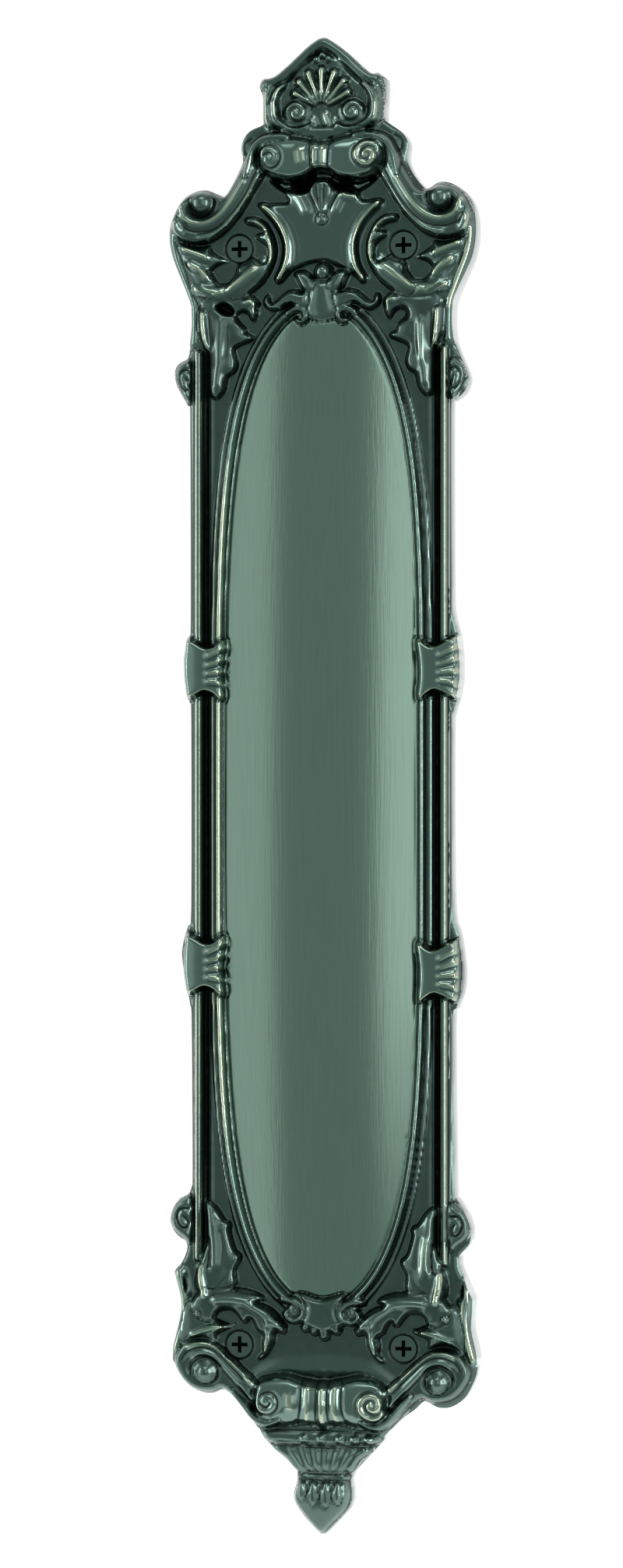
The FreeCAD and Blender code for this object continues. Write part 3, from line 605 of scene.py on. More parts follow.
# Top crossbar with a spiral at each end
bar = [
    (-12.2, 127.8), (-11.2, 129.5), (-6, 129.9), (-1.6, 129), (0.4, 128.3), (2.4, 128.6), (6, 129.9),
    (11.4, 129.9), (13.2, 128.2), (13.2, 124.4), (11.6, 122), (8, 120.4), (4.4, 120.7), (1.6, 122.2),
    (-0.8, 122.2), (-3.4, 120.9), (-6.5, 120.5), (-9.8, 121.6), (-12.2, 123.6),
]
shadow = [
    (-10.6, 121.2), (-8.4, 119.2), (-5.6, 118), (-3, 118.2), (-1.2, 119.8), (-1, 121.8), (-3.4, 120.7),
    (-6.5, 120.4), (-9.8, 121.4),
]
both(sunk, shadow, 1.3, axis=0.45)
bridge = [(-8.4, 131), (0.4, 131.6), (9.4, 131), (6.2, 129), (2.2, 128), (-1.4, 128), (-5.6, 129)]
leaf(bridge, 1.9, 1.6)
lay_bar(bar, 125.2, 5.7, 4.1)
# The right spiral's ridge is rubbed bright and the left one's is not: a painted highlight.
volute(-9.7, 125.0, 150.0, -1.0, (0.9, 2.9, 1.3), (0.26, 0.6), (0.3, 2.3, 1.1), (0.8, 0.35, 0.0))
volute(10.2, 125.2, 60.0, 1.0, (0.6, 3.4, 1.7), (0.26, 0.7), (0.2, 2.7, 1.6), (0.85, 0.7, 0.95))
over_eye = [(-15, 121.8), (-14.4, 124.8), (-13.2, 127.4), (-11.4, 128.9), (-8.8, 129.5), (-6.2, 129.5)]
both(rib, over_eye, [0.5, 1.0, 1.15, 1.1, 0.9, 0.5], 3.3, axis=0.45)
for x, lean in ((-1.5, 0.3), (2.2, -0.3)):
    crease([(x - lean, 128.8), (x, 125.4), (x + 0.6 * lean, 122.2)], 0.3, 0.7)
    swell([(x + 4.0 * lean, 128.2), (x + 3.6 * lean, 125.4), (x + 3.2 * lean, 122.4)], 0.7, 0.5)
# A bright patch on the bar's left lobe: a painted highlight.
swell([(-3.4, 126.4), (-3.2, 124.6)], 1.5, 0.4, 0.8)

# Shoulders: leaves under the neck strips, with rolls, veins and pockets, and ears below them
both(swell, [(-29.8, 112.6), (-29.7, 107.4), (-27.8, 101.4), (-26, 95.4), (-25.8, 89)], 2.4, 1.5, 0.6)
# A low ridge rubbed bright on the right shoulder only: a painted highlight.
swell([(30.6, 111), (30, 106.4), (28, 101.4), (26.4, 95.4)], 1.0, 0.1, 0.8)
shoulder_leaf = [
    (-29.4, 109.2), (-26.5, 108.2), (-24.2, 107.9), (-22.8, 108.1), (-22.4, 107.2), (-21.1, 106.1),
    (-18.9, 105), (-19.7, 104.8), (-21.2, 104.3), (-22.3, 103.4), (-22.4, 102.6), (-20.8, 100.5),
    (-18.4, 100.2), (-18, 99), (-19.5, 97), (-22, 96), (-24.8, 95.8), (-29, 107),
]
both(leaf, shoulder_leaf, 2.0, 4.5)
hanging_leaf = [
    (-14.3, 98.3), (-13.3, 97.5), (-12.5, 96.4), (-13, 95.4), (-13, 94.2), (-13.5, 92.9), (-14.2, 93.3),
    (-14.9, 94.5), (-16.1, 94.9), (-17, 94.3), (-17, 93.2), (-15.2, 91.4), (-15.2, 90.5), (-13.6, 89.8),
    (-14.4, 89), (-17.2, 87.8), (-17.6, 86.8), (-17.2, 85.5), (-17.1, 84), (-17.8, 82.6), (-19, 81.9),
    (-19.6, 79.3), (-20.6, 77.9), (-21.6, 77.4), (-22.4, 78.2), (-22.8, 80), (-22.8, 86), (-23.6, 88),
    (-24.8, 90), (-25.2, 93), (-24.8, 96), (-22.5, 98.2), (-19.5, 99.2), (-16.5, 99.4),
]
both(leaf, hanging_leaf, 2.2, 4.0, 0.6)
hook_leaf = [
    (-18.2, 101), (-17.3, 102.5), (-16.9, 104), (-14.6, 105), (-13.9, 105.6), (-12.3, 104.3), (-11.2, 104.3),
    (-10.6, 105.3), (-10.6, 106.8), (-11.2, 108.1), (-13.2, 109.6), (-13.2, 110.1), (-11.5, 110.5),
    (-12, 111.4), (-13.3, 112), (-15.1, 112.4), (-15.5, 113.1), (-14.6, 113.7), (-12.8, 113.4),
    (-11.1, 112.2), (-10, 110.4), (-9.3, 108.4), (-9.2, 106.2), (-9.7, 104.2), (-10.6, 102.2),
    (-11.8, 100.5), (-14.3, 98.5), (-16, 97.5), (-18.3, 97.6), (-19.3, 99),
]
both(leaf, hook_leaf, 2.4, 2.6)
both(swell, [(-27.8, 107.6), (-25.6, 106.8), (-23.2, 105.8)], 1.1, 0.9, 0.9)
both(swell, [(-26.6, 104.4), (-24.4, 103.2), (-23, 101.8)], 1.2, 0.9, 0.9)
both(swell, [(-25.2, 99.4), (-21.6, 98.6), (-17.6, 100), (-14, 102.4), (-11.6, 104.6)], 1.6, 0.9, 0.85)
both(swell, [(-10.1, 104.4), (-9.9, 107.4), (-10.9, 110.6), (-13, 112.6)], 0.7, 0.6, 0.9)
both(crease, [(-28.6, 105.6), (-26.6, 102.6), (-24.6, 99.6), (-22, 98)], 0.3, 0.35, 0.5)
both(crease, [(-24.6, 98), (-21, 97.2), (-17.4, 97), (-14.6, 98)], 0.3, 0.45, 0.7)
both(swell, [(-23.9, 94.4), (-23.7, 91.2), (-23.2, 87.4)], 1.0, 1.4, 0.85)
both(crease, [(-22.6, 93.6), (-22.4, 90.4), (-22.3, 87), (-22, 84)], 0.3, 0.5, 0.8)
both(swell, [(-20.2, 92.6), (-20.4, 88.8), (-20.6, 85), (-21, 80.4)], 1.2, 0.5, 0.1)
# A ridge rubbed bright on the right leaf only: a painted highlight.
swell([(20.8, 91.4), (20.6, 88.4), (21, 84.8)], 0.9, 0.3, 0.8)
both(crease, [(-18.8, 91.6), (-18.9, 88.6), (-19.4, 85.8)], 0.3, 0.35, 0.55)
both(swell, [(-15, 96.6), (-13.6, 96.6), (-13.2, 94.6)], 0.8, 0.6, 0.85)
# A black pocket between the leaves: painted shade.
sunk([(-21.4, 96.2), (-19.6, 96.7), (-18, 95.6), (-17.7, 94.2), (-19.4, 94.2), (-20.8, 95)], 2.2)
crease([(16.6, 95.6), (17.6, 94.8), (18.2, 93.4), (17.6, 92.6)], 0.3, 0.6)
ear = [(-26.6, 84.9), (-28.5, 84.7), (-29.8, 82.9), (-29.3, 80.2), (-28, 77.8), (-26.8, 76.8)]
hook = [(-26.9, 83.2), (-28.1, 83.3), (-29, 82), (-28.6, 80), (-27.6, 79.2), (-27, 80.2), (-27.6, 81.6)]
lay_ears(ear, hook, 1.6, 2.0, -0.4)

# Flower at the head of the cushion
throat = [
    (-2.8, 101.6), (-3.2, 98.8), (-4, 96.4), (-3.6, 93.8), (0.5, 92.4), (4.6, 93.8), (5, 96.4), (4.2, 98.8),
    (3.8, 101.6), (0.5, 101),
]
leaf(throat, 2.3, 4.0)
side_petal = [
    (-3.4, 98.4), (-5, 98.8), (-6.8, 98.5), (-9.2, 96.5), (-10.1, 96.3), (-10.5, 97.2), (-10.4, 98),
    (-11.1, 97.9), (-11.5, 96.8), (-11, 95.7), (-10, 95), (-8.8, 95), (-7.6, 95.4), (-6.6, 96.1),
    (-5.2, 95.9), (-4.2, 95.2), (-3.4, 93.9), (-2.4, 95.5), (-2, 97.5), (-2.4, 98.7),
]
both(leaf, side_petal, 2.7, 1.4, axis=0.4)
upper_petal = [
    (-5.2, 102.4), (-3.6, 102.7), (-2.2, 102.2), (-0.9, 100.6), (-1.1, 98.8), (-2.6, 98.2), (-3.8, 99.2),
    (-4.9, 101.5),
]
both(leaf, upper_petal, 2.6, 1.6, axis=0.4)
curl = [(-6.4, 94.4), (-4.8, 95.2), (-3.3, 94.6), (-2.9, 93.3), (-3.8, 92.5), (-4.8, 93)]
both(rib, curl, [0.6, 0.7, 0.7, 0.6, 0.5, 0.35], 2.4, axis=0.5)
swell([(0.6, 99.6), (0.6, 96), (0.6, 93.4)], 3.2, 0.4, 0.2)
boss([(0.7, 102.4)], 1.9, 3.2)
crease([(-0.6, 103), (0.4, 102.2), (1.2, 101.2)], 0.22, 0.3, 0.6)

# Lower leaves and ears
edge = [(-29.2, -97.8), (-28.1, -103.5), (-28.5, -108), (-29.8, -112.6)]
both(swell, edge, 2.2, 1.4, 0.72, axis=0.6, rise=-1.0)
# A low ridge rubbed bright on the right edge only: a painted highlight.
swell([(28.4, -102.6), (29.4, -107.6), (30.8, -112.8)], 1.0, 0.1, 0.8)
rising = {"axis": 0.1, "rise": -0.4}
rising_leaf = [
    (-23.5, -83.2), (-21.2, -84.5), (-19.8, -86.8), (-18.9, -87.1), (-18.4, -88.1), (-18.6, -89.2),
    (-17.5, -92.9), (-16.4, -93.8), (-16.4, -95.1), (-17.4, -97), (-17.2, -99.6), (-19, -101.4),
    (-23.5, -102.6), (-25.8, -100), (-24.8, -96), (-23.6, -92), (-23.4, -87.5),
]
both(leaf, rising_leaf, 2.3, 4.0, **rising)
volute_leaf = [
    (-21.4, -106.9), (-18.6, -108), (-17.6, -107.7), (-18.2, -108.5), (-20.9, -109.6), (-21.5, -110.4),
    (-21.1, -111.2), (-21.9, -111.5), (-23.5, -111), (-25.4, -111), (-27.2, -111.8), (-28.4, -113.2),
    (-28.8, -111), (-28.4, -107), (-26.8, -103), (-24.2, -104),
]
both(leaf, volute_leaf, 1.9, 3.0, axis=0.3, rise=-0.2)
claw_leaf = [
    (-22, -100.8), (-18.5, -100.6), (-15.5, -100.8), (-13.2, -101.4), (-11.6, -102.3), (-11.4, -102.8),
    (-13, -103.3), (-10.2, -104.5), (-8.4, -106.2), (-6.9, -108.2), (-7.4, -109.6), (-8.6, -109.2),
    (-9.3, -109.4), (-9.4, -111), (-10.2, -112.8), (-11.4, -114.2), (-12.8, -114.9), (-12.6, -114.1),
    (-11.7, -113.2), (-12, -111.3), (-11.7, -110.2), (-12, -109.4), (-12.9, -109), (-13.8, -107),
    (-14.6, -106.6), (-15, -107.4), (-15.7, -107.6), (-17.4, -105.4), (-18.6, -104.9), (-20.3, -105),
    (-21.3, -105.8), (-21.7, -107), (-23.2, -107.4), (-25.4, -106.4), (-26.4, -103.8), (-24.6, -101.2),
]
both(leaf, claw_leaf, 2.5, 2.6, 0.6, axis=0.1, rise=-0.1)
both(swell, [(-24.6, -96.6), (-24.2, -99.2), (-23.6, -101.8)], 1.2, 1.2, 0.9, **rising)
both(swell, [(-22.4, -86), (-21.8, -91), (-21.4, -96)], 1.2, 0.5, 0.1, **rising)
# A ridge rubbed bright on the right leaf only: a painted highlight.
swell([(21.8, -90), (21.2, -93.6), (20.8, -97.4)], 0.9, 0.3, 0.85)
both(crease, [(-22.9, -90.6), (-22.6, -94), (-22.9, -96.4)], 0.34, 0.8, 1.0, **rising)
both(crease, [(-20.4, -89.2), (-19.8, -92), (-19.9, -95)], 0.28, 0.35, 0.55, **rising)
both(crease, [(-18.6, -96.4), (-19.4, -98.4), (-21, -100.4)], 0.28, 0.4, 0.6, **rising)
both(swell, [(-21, -102.8), (-16, -102.8), (-12.2, -104.6), (-8.6, -107.4)], 1.4, 0.9, 0.4, axis=0.1)
both(swell, [(-10.6, -107), (-10.4, -110), (-11.2, -113.2)], 0.8, 0.6, axis=0.1)
both(crease, [(-15.6, -104), (-12.6, -106), (-10.4, -108.6)], 0.28, 0.4, 0.6, axis=0.1)
both(swell, [(-26, -110), (-23, -108.8), (-20.4, -108.4)], 0.9, 0.9, axis=0.3, rise=-0.2)
both(boss, [(-25, -105.9)], 0.8, 2.9, axis=0.3)
slit = [(-28.2, -98.4), (-27.5, -99.4), (-27.3, -101.2), (-27.9, -101.8), (-28.2, -100.2)]
both(sunk, slit, 0.8, axis=0.5)
ear = [
    (-26.4, -82.6), (-28.8, -83.2), (-30.3, -85), (-30.8, -87.2), (-30, -89.2), (-28, -90.8), (-26.6, -91.6),
]
hook = [
    (-27, -84.8), (-28.6, -84.9), (-29.4, -86.4), (-28.8, -88.2), (-27.6, -88.7), (-27.1, -87.6),
    (-27.9, -86.4),
]
lay_ears(ear, hook, 1.7, 2.2, -0.6)

# Lower strips with their balls
strip = [
    (-29.4, -113.6), (-27.8, -111.6), (-24.6, -110.9), (-21.7, -111.6), (-18.2, -114.3), (-15.3, -117),
    (-12.8, -119.1), (-12.6, -121.5), (-13.2, -124.5), (-12.4, -127.6), (-14.6, -126.2), (-18, -122.2),
    (-20.2, -120.7), (-22, -121.4), (-25.3, -121.2), (-27.8, -119.7), (-29.6, -117), (-30, -115),
]
lower = {"axis": 0.3, "rise": -0.9}
both(leaf, strip, 2.2, 1.6, 0.58, **lower)
first = [
    (-28.2, -115), (-27, -113.4), (-24.5, -112.5), (-21.5, -113.2), (-18.2, -116.1), (-14.9, -119.2),
    (-12.9, -121),
]
second = [
    (-26.7, -117), (-26.2, -115.2), (-24.2, -114.2), (-21.6, -115), (-18.8, -117.8), (-15.5, -121.4),
    (-13.6, -123.6),
]
for line, ridge_rise, rub_and_highlight in ((first, 0.9, 0.8), (second, 0.8, 0.6)):
    both(crease, line, 0.26, 0.5, 0.9, **lower)
    both(swell, moved(line[1:], 0.2, ridge_rise), 0.7, 0.5, rub_and_highlight, **lower)
for x, z, hand in ((-23.4, -117.4, 1.0), (24.1, -118.4, -1.0)):
    crease(spiral(x, z, 2.5, 3.1, 0.7, 90.0 + 100.0 * hand, -hand), 0.28, 0.6, 0.9)
    boss([(x, z)], 2.3, 3.5)

# Bottom crossbar with a spiral at each end
lip = [
    (-13.6, -119.4), (-9, -116.6), (-4, -115.7), (0.3, -115.4), (5, -115.6), (9.6, -116.6), (14.2, -119.6),
]
swell(lip, 2.8, 0.8, 0.2)
seat = [(-12.4, -125.6), (0.4, -126), (13.4, -125.8), (12.6, -130.4), (0.4, -131.4), (-11.6, -130.4)]
leaf(seat, 2.0, 1.5)
bar = [
    (-12.8, -119.2), (-10.4, -117.8), (-6.5, -117.4), (-3.6, -118.3), (0.5, -118.9), (4.8, -118.2),
    (8, -117.4), (11.5, -118), (13.6, -119.8), (14.2, -124), (12.8, -127), (9, -128.2), (4.8, -127.4),
    (0.8, -128.2), (-3, -127.4), (-7.4, -128), (-11.2, -127.4), (-13.2, -124.4),
]
lay_bar(bar, -122.8, 7.4, 4.1)
# The right spiral's ridge is rubbed bright and the left one's is not: a painted highlight.
volute(-10.3, -122.8, 200.0, 1.0, (0.7, 3.0, 1.4), (0.28, 0.7), (0.2, 2.4, 1.2), (0.8, 0.4, 0.0))
volute(11.2, -123.0, -40.0, -1.0, (0.6, 3.9, 1.8), (0.28, 0.7), (0.2, 3.2, 1.7), (0.9, 0.7, 0.95))
under_eye = [(-17.9, -121), (-15.2, -123.9), (-13.2, -126.2), (-10.6, -127.4), (-8, -126.6)]
both(rib, under_eye, [0.5, 1.0, 1.1, 0.9, 0.5], 3.4, axis=0.4, rise=-0.2)
for x, flare in ((-3.4, -0.9), (-0.3, -0.2), (2.0, 0.2), (4.9, 0.9)):
    crease([(x, -118.8), (x, -123.4), (x + flare, -127.4)], 0.3, 0.7)
for x, flare in ((-1.9, -0.4), (0.9, 0.0), (3.5, 0.5)):
    swell([(x, -119.2), (x, -123.4), (x + flare, -127.2)], 0.8, 0.5)
# A bright patch on the bar's left lobe: a painted highlight.
swell([(-5.6, -121.8), (-5.5, -123.6)], 1.6, 0.4, 0.8)

# Foot of the cushion, fluted urn and acorn
collar = [
    (-4.2, -101.2), (0.5, -102.2), (5.2, -101.2), (4.4, -104), (5.4, -107), (3.2, -108.6), (0.8, -109.4),
    (-1.8, -108.6), (-3.8, -107), (-3, -104),
]
leaf(collar, 2.7, 1.8)
cushion_end = [
    (-6.4, -101.8), (-3.6, -101.3), (-1.4, -101.9), (0.5, -102.3), (2.6, -101.9), (4.8, -101.3),
    (7.2, -101.8),
]
crease(cushion_end, 0.3, 0.3, 0.9)
both(boss, [(-5.3, -104.9)], 1.7, 1.9, axis=0.55, rise=-0.2)
curl = [
    (-7.8, -102.6), (-5, -102.9), (-3.3, -104.2), (-3.6, -106), (-5.4, -106.8), (-7, -105.8), (-6.6, -104.6),
]
both(rib, curl, [0.6, 0.75, 0.8, 0.7, 0.65, 0.55, 0.4], 2.5, axis=0.55, rise=-0.2)
for x, z, radius in ((-3.0, -108.2, 1.0), (-1.2, -108.9, 0.9), (0.9, -109.6, 1.2), (3.4, -108.6, 1.0)):
    boss([(x, z)], radius, 2.2)
rim = [
    (-11.2, -128.9), (-5, -128.6), (0.5, -128.6), (6.5, -128.7), (12.4, -129.5), (11.4, -130.9),
    (5.5, -131.7), (0.4, -131.8), (-5, -131.7), (-10.4, -131.1),
]
leaf(rim, 2.6, 1.4)
boss([(x, -130.2) for x in (-3.0, 0.5, 4.4, 7.4, 10.2)], 1.1, 3.3, 0.4, 0.3)
stem = [
    (-9.4, -131), (0.4, -131.2), (10.2, -131), (7.2, -134.6), (5.7, -136.8), (5.4, -139.6), (-4.2, -139.6),
    (-4.5, -136.8), (-6.2, -134.6),
]
leaf(stem, 1.5, 1.0)
bell = [
    (-10, -131.9), (0.4, -132.1), (10.8, -131.9), (8, -134.4), (6.2, -136.8), (0.6, -137), (-4.9, -136.8),
    (-7, -134.4),
]
leaf(bell, 2.0, 2.4)
for step in range(-3, 4):
    top_x = 0.5 + 2.5 * step
    low_x = 0.6 + 1.5 * step
    crease([(top_x, -132.2), (low_x, -136.6)], 0.24, 0.35, 0.6)
    swell([(top_x + 1.25, -132.4), (low_x + 0.75, -136.4)], 0.9, 0.3, 0.2)
rib([(-4.4, -137.8), (0.6, -137.9), (5.6, -137.8)], 0.6, 2.3)
acorn = [
    (-4.2, -138.3), (0.6, -138.4), (5.4, -138.3), (6.1, -140), (6.2, -141.8), (5.6, -143.6), (4.6, -145),
    (2.2, -147.4), (0.4, -149), (-1.6, -147.4), (-3.6, -145), (-4.8, -143.4), (-5.3, -141.8), (-5, -140.2),
]
leaf(acorn, 3.4, 5.0, 0.5)
for x, z in ((-3.4, -140.6), (-1.0, -141.4), (1.6, -141.7), (4.0, -141.2)):
    rib([(x, -138.8), (x, z), (x + 0.1, z - 1.4)], [0.6, 1.1, 0.6], 3.8, depth=0.4)
    crease([(x, -139.0), (x, z - 0.6)], 0.2, 0.4, 0.7)

# Holes with their countersinks and a black ring of painted shade round each, the rounded outer edge and the
# highest point allowed
away = plate_away
for x, z in [(x, z) for x in (-screw_x, screw_x) for z in (screw_top, screw_bottom)]:
    distance = np.hypot(grid_x - x, grid_z - z)
    sink = ground - np.clip(sink_radius - distance, 0.0, sink_radius - hole_radius)
    height[:] = np.where(distance < sink_radius, sink, height)
    outside = np.maximum(distance - sink_radius, 0.0)
    patina_and_painted_light[:] = np.maximum(patina_and_painted_light, np.exp(-(outside / sink_line_width) ** 2))
    away = np.maximum(away, hole_radius - distance)
rim = ground - edge_round + edge_round * dome(-plate_away, edge_round)
rounded = np.minimum(height, rim + np.maximum(height - ground, 0.0))
height[:] = np.where(plate_away > -edge_round, rounded, height)
height[:] = np.minimum(height, top_limit)


def softened(field, passes):
    """The field blurred by a short filter along both directions."""
    for _ in range(passes):
        for axis in (0, 1):
            field = 0.5 * field + 0.25 * (np.roll(field, 1, axis) + np.roll(field, -1, axis))
    return field


# Hollows below the softened height are darkened: painted shade and patina.
recess = np.clip(softened(height, recess_passes) - height, -recess_limit, recess_limit)
patina_and_painted_light[:] = np.clip(patina_and_painted_light + recess_shade_and_patina * (recess * (oval_away > -recess_reach)), 0.0, 1.0)
height = np.where((brushed > 0.5) & (oval_away < -soft_reach), height, softened(height, soft_passes))


def clipped_triangles():
    """Front of the relief as triangles, cut along the outline and the holes."""
    rows, columns = grid_x.shape
    index = np.arange(rows * columns).reshape(rows, columns)
    corners = (index[:-1, :-1], index[:-1, 1:], index[1:, 1:], index[1:, :-1])
    a, b, c, d = [corner.ravel() for corner in corners]
    triangles = np.concatenate([np.stack([a, b, c], 1), np.stack([a, c, d], 1)])
    flat_away = away.ravel()
    inside = flat_away[triangles] < 0.0
    whole = triangles[inside.all(1)]
    cut = triangles[inside.any(1) & ~inside.all(1)]
    points = np.stack([grid_x.ravel(), height.ravel(), grid_z.ravel()], 1)
    added = []
    crossings = {}

    def crossing(i, j):
        key = (min(i, j), max(i, j))
        if key not in crossings:
            share = flat_away[i] / (flat_away[i] - flat_away[j])
            crossings[key] = len(points) + len(added)
            added.append(points[i] + share * (points[j] - points[i]))
        return crossings[key]

    extra = []
    for triangle in cut.tolist():
        corners = []
        for i, j in zip(triangle, triangle[1:] + triangle[:1]):
            if flat_away[i] < 0.0:
                corners.append(i)
            if (flat_away[i] < 0.0) != (flat_away[j] < 0.0):
                corners.append(crossing(i, j))
        extra += [(corners[0], *pair) for pair in zip(corners[1:], corners[2:])]
    triangles = np.concatenate([whole, np.array(extra)])
    points = np.concatenate([points, np.array(added)])
    used, compact = np.unique(triangles, return_inverse=True)
    points = points[used]
    points[:, 0] = np.clip(points[:, 0], cad_box[0][0] / metre, cad_box[1][0] / metre)
    points[:, 2] = np.clip(points[:, 2], cad_box[0][2] / metre - lift, cad_box[1][2] / metre - lift)
    return points, compact.reshape(-1, 3)


def back_depth(x, z):
    """Depth of the hollow in the back, a rectangle with round corners."""
    middle = 0.5 * (pocket_top + pocket_bottom)
    over_x = np.abs(x) - pocket_half_width + pocket_corner
    over_z = np.abs(z - middle) - 0.5 * (pocket_top - pocket_bottom) + pocket_corner
    outside = np.hypot(np.maximum(over_x, 0.0), np.maximum(over_z, 0.0))
    edge = outside + np.minimum(np.maximum(over_x, over_z), 0.0) - pocket_corner
    return pocket_depth * np.clip(-edge / pitch, 0.0, 1.0)


def plate_mesh():
    """The relief, the back with its hollow, and the walls between them as one closed mesh."""
    front, triangles = clipped_triangles()
    back = front.copy()
    back[:, 1] = back_depth(front[:, 0], front[:, 2])
    count = len(front)
    edges = np.concatenate([triangles[:, pair] for pair in ((0, 1), (1, 2), (2, 0))])
    keys = edges.min(1) * count + edges.max(1)
    _, first, uses = np.unique(keys, return_index=True, return_counts=True)
    start, end = edges[first[uses == 1]].T
    walls = np.concatenate([
        np.stack([end, start, start + count], 1), np.stack([end, start + count, end + count], 1),
    ])
    faces = np.concatenate([triangles, triangles[:, ::-1] + count, walls])
    places = np.concatenate([front, back])
    places = np.stack([places[:, 0], -places[:, 1], places[:, 2] + lift], 1) * metre
    data = bpy.data.meshes.new("finger_plate_relief")
    data.from_pydata(places.tolist(), [], faces.tolist())
    data.update()
    return data


def placed(name, data):
    made = bpy.data.objects.new(name, data)
    scene.collection.objects.link(made)
    return made


def thinned(data):
    """The mesh with fewer triangles where it is plain."""
    piece = placed("finger_plate_relief", data)
    data.calc_loop_triangles()
    total = len(data.loop_triangles)
    if total > triangle_limit:
        modifier = piece.modifiers.new("thin", "DECIMATE")
        modifier.ratio = triangle_limit / total
        graph = bpy.context.evaluated_depsgraph_get()
        piece.data = bpy.data.meshes.new_from_object(piece.evaluated_get(graph))
        piece.modifiers.clear()
        bpy.data.meshes.remove(data)
    piece.data.name = "finger_plate_relief"
    return piece


def sampled(field, x, z):
    """Values of a grid field at free places."""
    column = np.clip(np.interp(x, across, np.arange(len(across))), 0, len(across) - 1.001)
    row = np.clip(np.interp(z, up, np.arange(len(up))), 0, len(up) - 1.001)
    left = column.astype(int)
    low = row.astype(int)
    right = column - left
    high = row - low
    lower = field[low, left] * (1.0 - right) + field[low, left + 1] * right
    upper = field[low + 1, left] * (1.0 - right) + field[low + 1, left + 1] * right
    return lower * (1.0 - high) + upper * high


def read(items, name, width=1, kind=float):
    """A property of all the items, as one row of values for each."""
    values = np.empty(len(items) * width, kind)
    items.foreach_get(name, values)
    return values.reshape(-1, width)


def finish_plate(piece):
    """Patina and painted light on the points, a material slot for each face, and true normals in front."""
    data = piece.data
    places = read(data.vertices, "co", 3) / metre
    x = places[:, 0]
    z = places[:, 2] - lift
    values = np.where(places[:, 1] > -wall_height, wall_painted_bright_tone, sampled(patina_and_painted_light, x, z))
    data.attributes.new("patina_and_painted_light", "FLOAT", "POINT").data.foreach_set("value", values)
    data.shade_smooth()
    data.set_sharp_from_angle(angle=math.radians(sharp_angle))
    middles = read(data.polygons, "center", 3) / metre
    facing = read(data.polygons, "normal", 3)[:, 1]
    face_x = middles[:, 0]
    face_z = middles[:, 2] - lift
    smooth_face = (sampled(brushed, face_x, face_z) > 0.5) & (middles[:, 1] < -front_height)
    wall = (np.abs(facing) < wall_facing) & (sampled(plate_away, face_x, face_z) > -edge_round)
    slots = np.where(wall & (middles[:, 1] > -ground), painted_bright_wall_slot, smooth_face.astype(int))
    data.polygons.foreach_set("material_index", slots.astype(np.int32))
    loops = read(data.loops, "vertex_index", 1, np.int32)[:, 0]
    flat = np.stack([x[loops], z[loops]], 1) * uv_scale
    data.uv_layers.new(name="drawing").data.foreach_set("uv", flat.ravel())
    slope_z, slope_x = np.gradient(height, up, across)
    true_normals = np.stack([-sampled(slope_x, x, z), -np.ones(len(x)), -sampled(slope_z, x, z)], 1)
    true_normals /= np.linalg.norm(true_normals, axis=1, keepdims=True)
    corner_counts = read(data.polygons, "loop_total", 1, np.int32)[:, 0]
    front_face = (facing < -front_facing) & (slots != painted_bright_wall_slot)
    loop_normals = np.where(np.repeat(front_face, corner_counts)[:, None], true_normals[loops], 0.0)
    data.normals_split_custom_set(loop_normals.tolist())


def feed(socket, value):
    """Sets an input to a value, or links it to an output."""
    if isinstance(value, bpy.types.NodeSocket):
        socket.id_data.links.new(value, socket)
    else:
        socket.default_value = value


def node(tree, kind, **inputs):
    made = tree.nodes.new(kind)
    for name, value in inputs.items():
        feed(made.inputs[name.replace("_", " ")], value)
    return made


def maths(tree, operation, *values, clamp=False):
    made = tree.nodes.new("ShaderNodeMath")
    made.operation = operation
    made.use_clamp = clamp
    for socket, value in zip(made.inputs, values):
        feed(socket, value)
    return made.outputs[0]


def metal(name, bright, dark, rough, grain=cast_grain, anisotropic=0.0, slot_shade_from=None, rubbed_highlight=None):
    """Metal that darkens with the value on its points, antique darkening and painted light, or with painted
    shade below a given depth, and shows bright worn metal, partly a painted highlight, where bare.
    """
    material = bpy.data.materials.new(name)
    material.use_nodes = True
    tree = material.node_tree
    place = node(tree, "ShaderNodeTexCoord").outputs["Object"]
    stretch = node(tree, "ShaderNodeMapping", Vector=place, Scale=grain["scale"])
    noise = node(tree, "ShaderNodeTexNoise", Vector=stretch.outputs["Vector"], Scale=1.0, Detail=4.0)
    fleck = noise.outputs["Fac"]
    if slot_shade_from is None:
        attribute = node(tree, "ShaderNodeAttribute")
        attribute.attribute_name = "patina_and_painted_light"
        tarnish_and_shade = attribute.outputs["Fac"]
    else:
        depth = node(tree, "ShaderNodeSeparateXYZ", Vector=place).outputs["Y"]
        slot_shade_to = slot_shade_from + slot_shade_fade
        below = node(tree, "ShaderNodeMapRange", Value=depth, From_Min=slot_shade_from, From_Max=slot_shade_to)
        tarnish_and_shade = below.outputs["Result"]
    wear = maths(tree, "MULTIPLY_ADD", fleck, grain["wear"], grain["start"])
    total = maths(tree, "ADD", wear, tarnish_and_shade, clamp=True)
    ramp = node(tree, "ShaderNodeValToRGB", Fac=total)
    stops = ramp.color_ramp.elements
    stops[0].color = (*bright, 1.0)
    stops[1].color = (*dark, 1.0)
    if rubbed_highlight is not None:
        stops[0].position = rubbed_highlight_share
        stops.new(0.0).color = (*rubbed_highlight, 1.0)
    roughness = node(tree, "ShaderNodeMapRange", Value=total, To_Min=rough[0], To_Max=rough[1])
    bump = node(tree, "ShaderNodeBump", Strength=grain["bump"], Distance=grain_depth, Height=fleck)
    look = {
        "Metallic": 1.0, "Anisotropic": anisotropic, "Base Color": ramp.outputs["Color"],
        "Roughness": roughness.outputs["Result"], "Normal": bump.outputs["Normal"],
    }
    for socket, value in look.items():
        feed(tree.nodes["Principled BSDF"].inputs[socket], value)
    return material


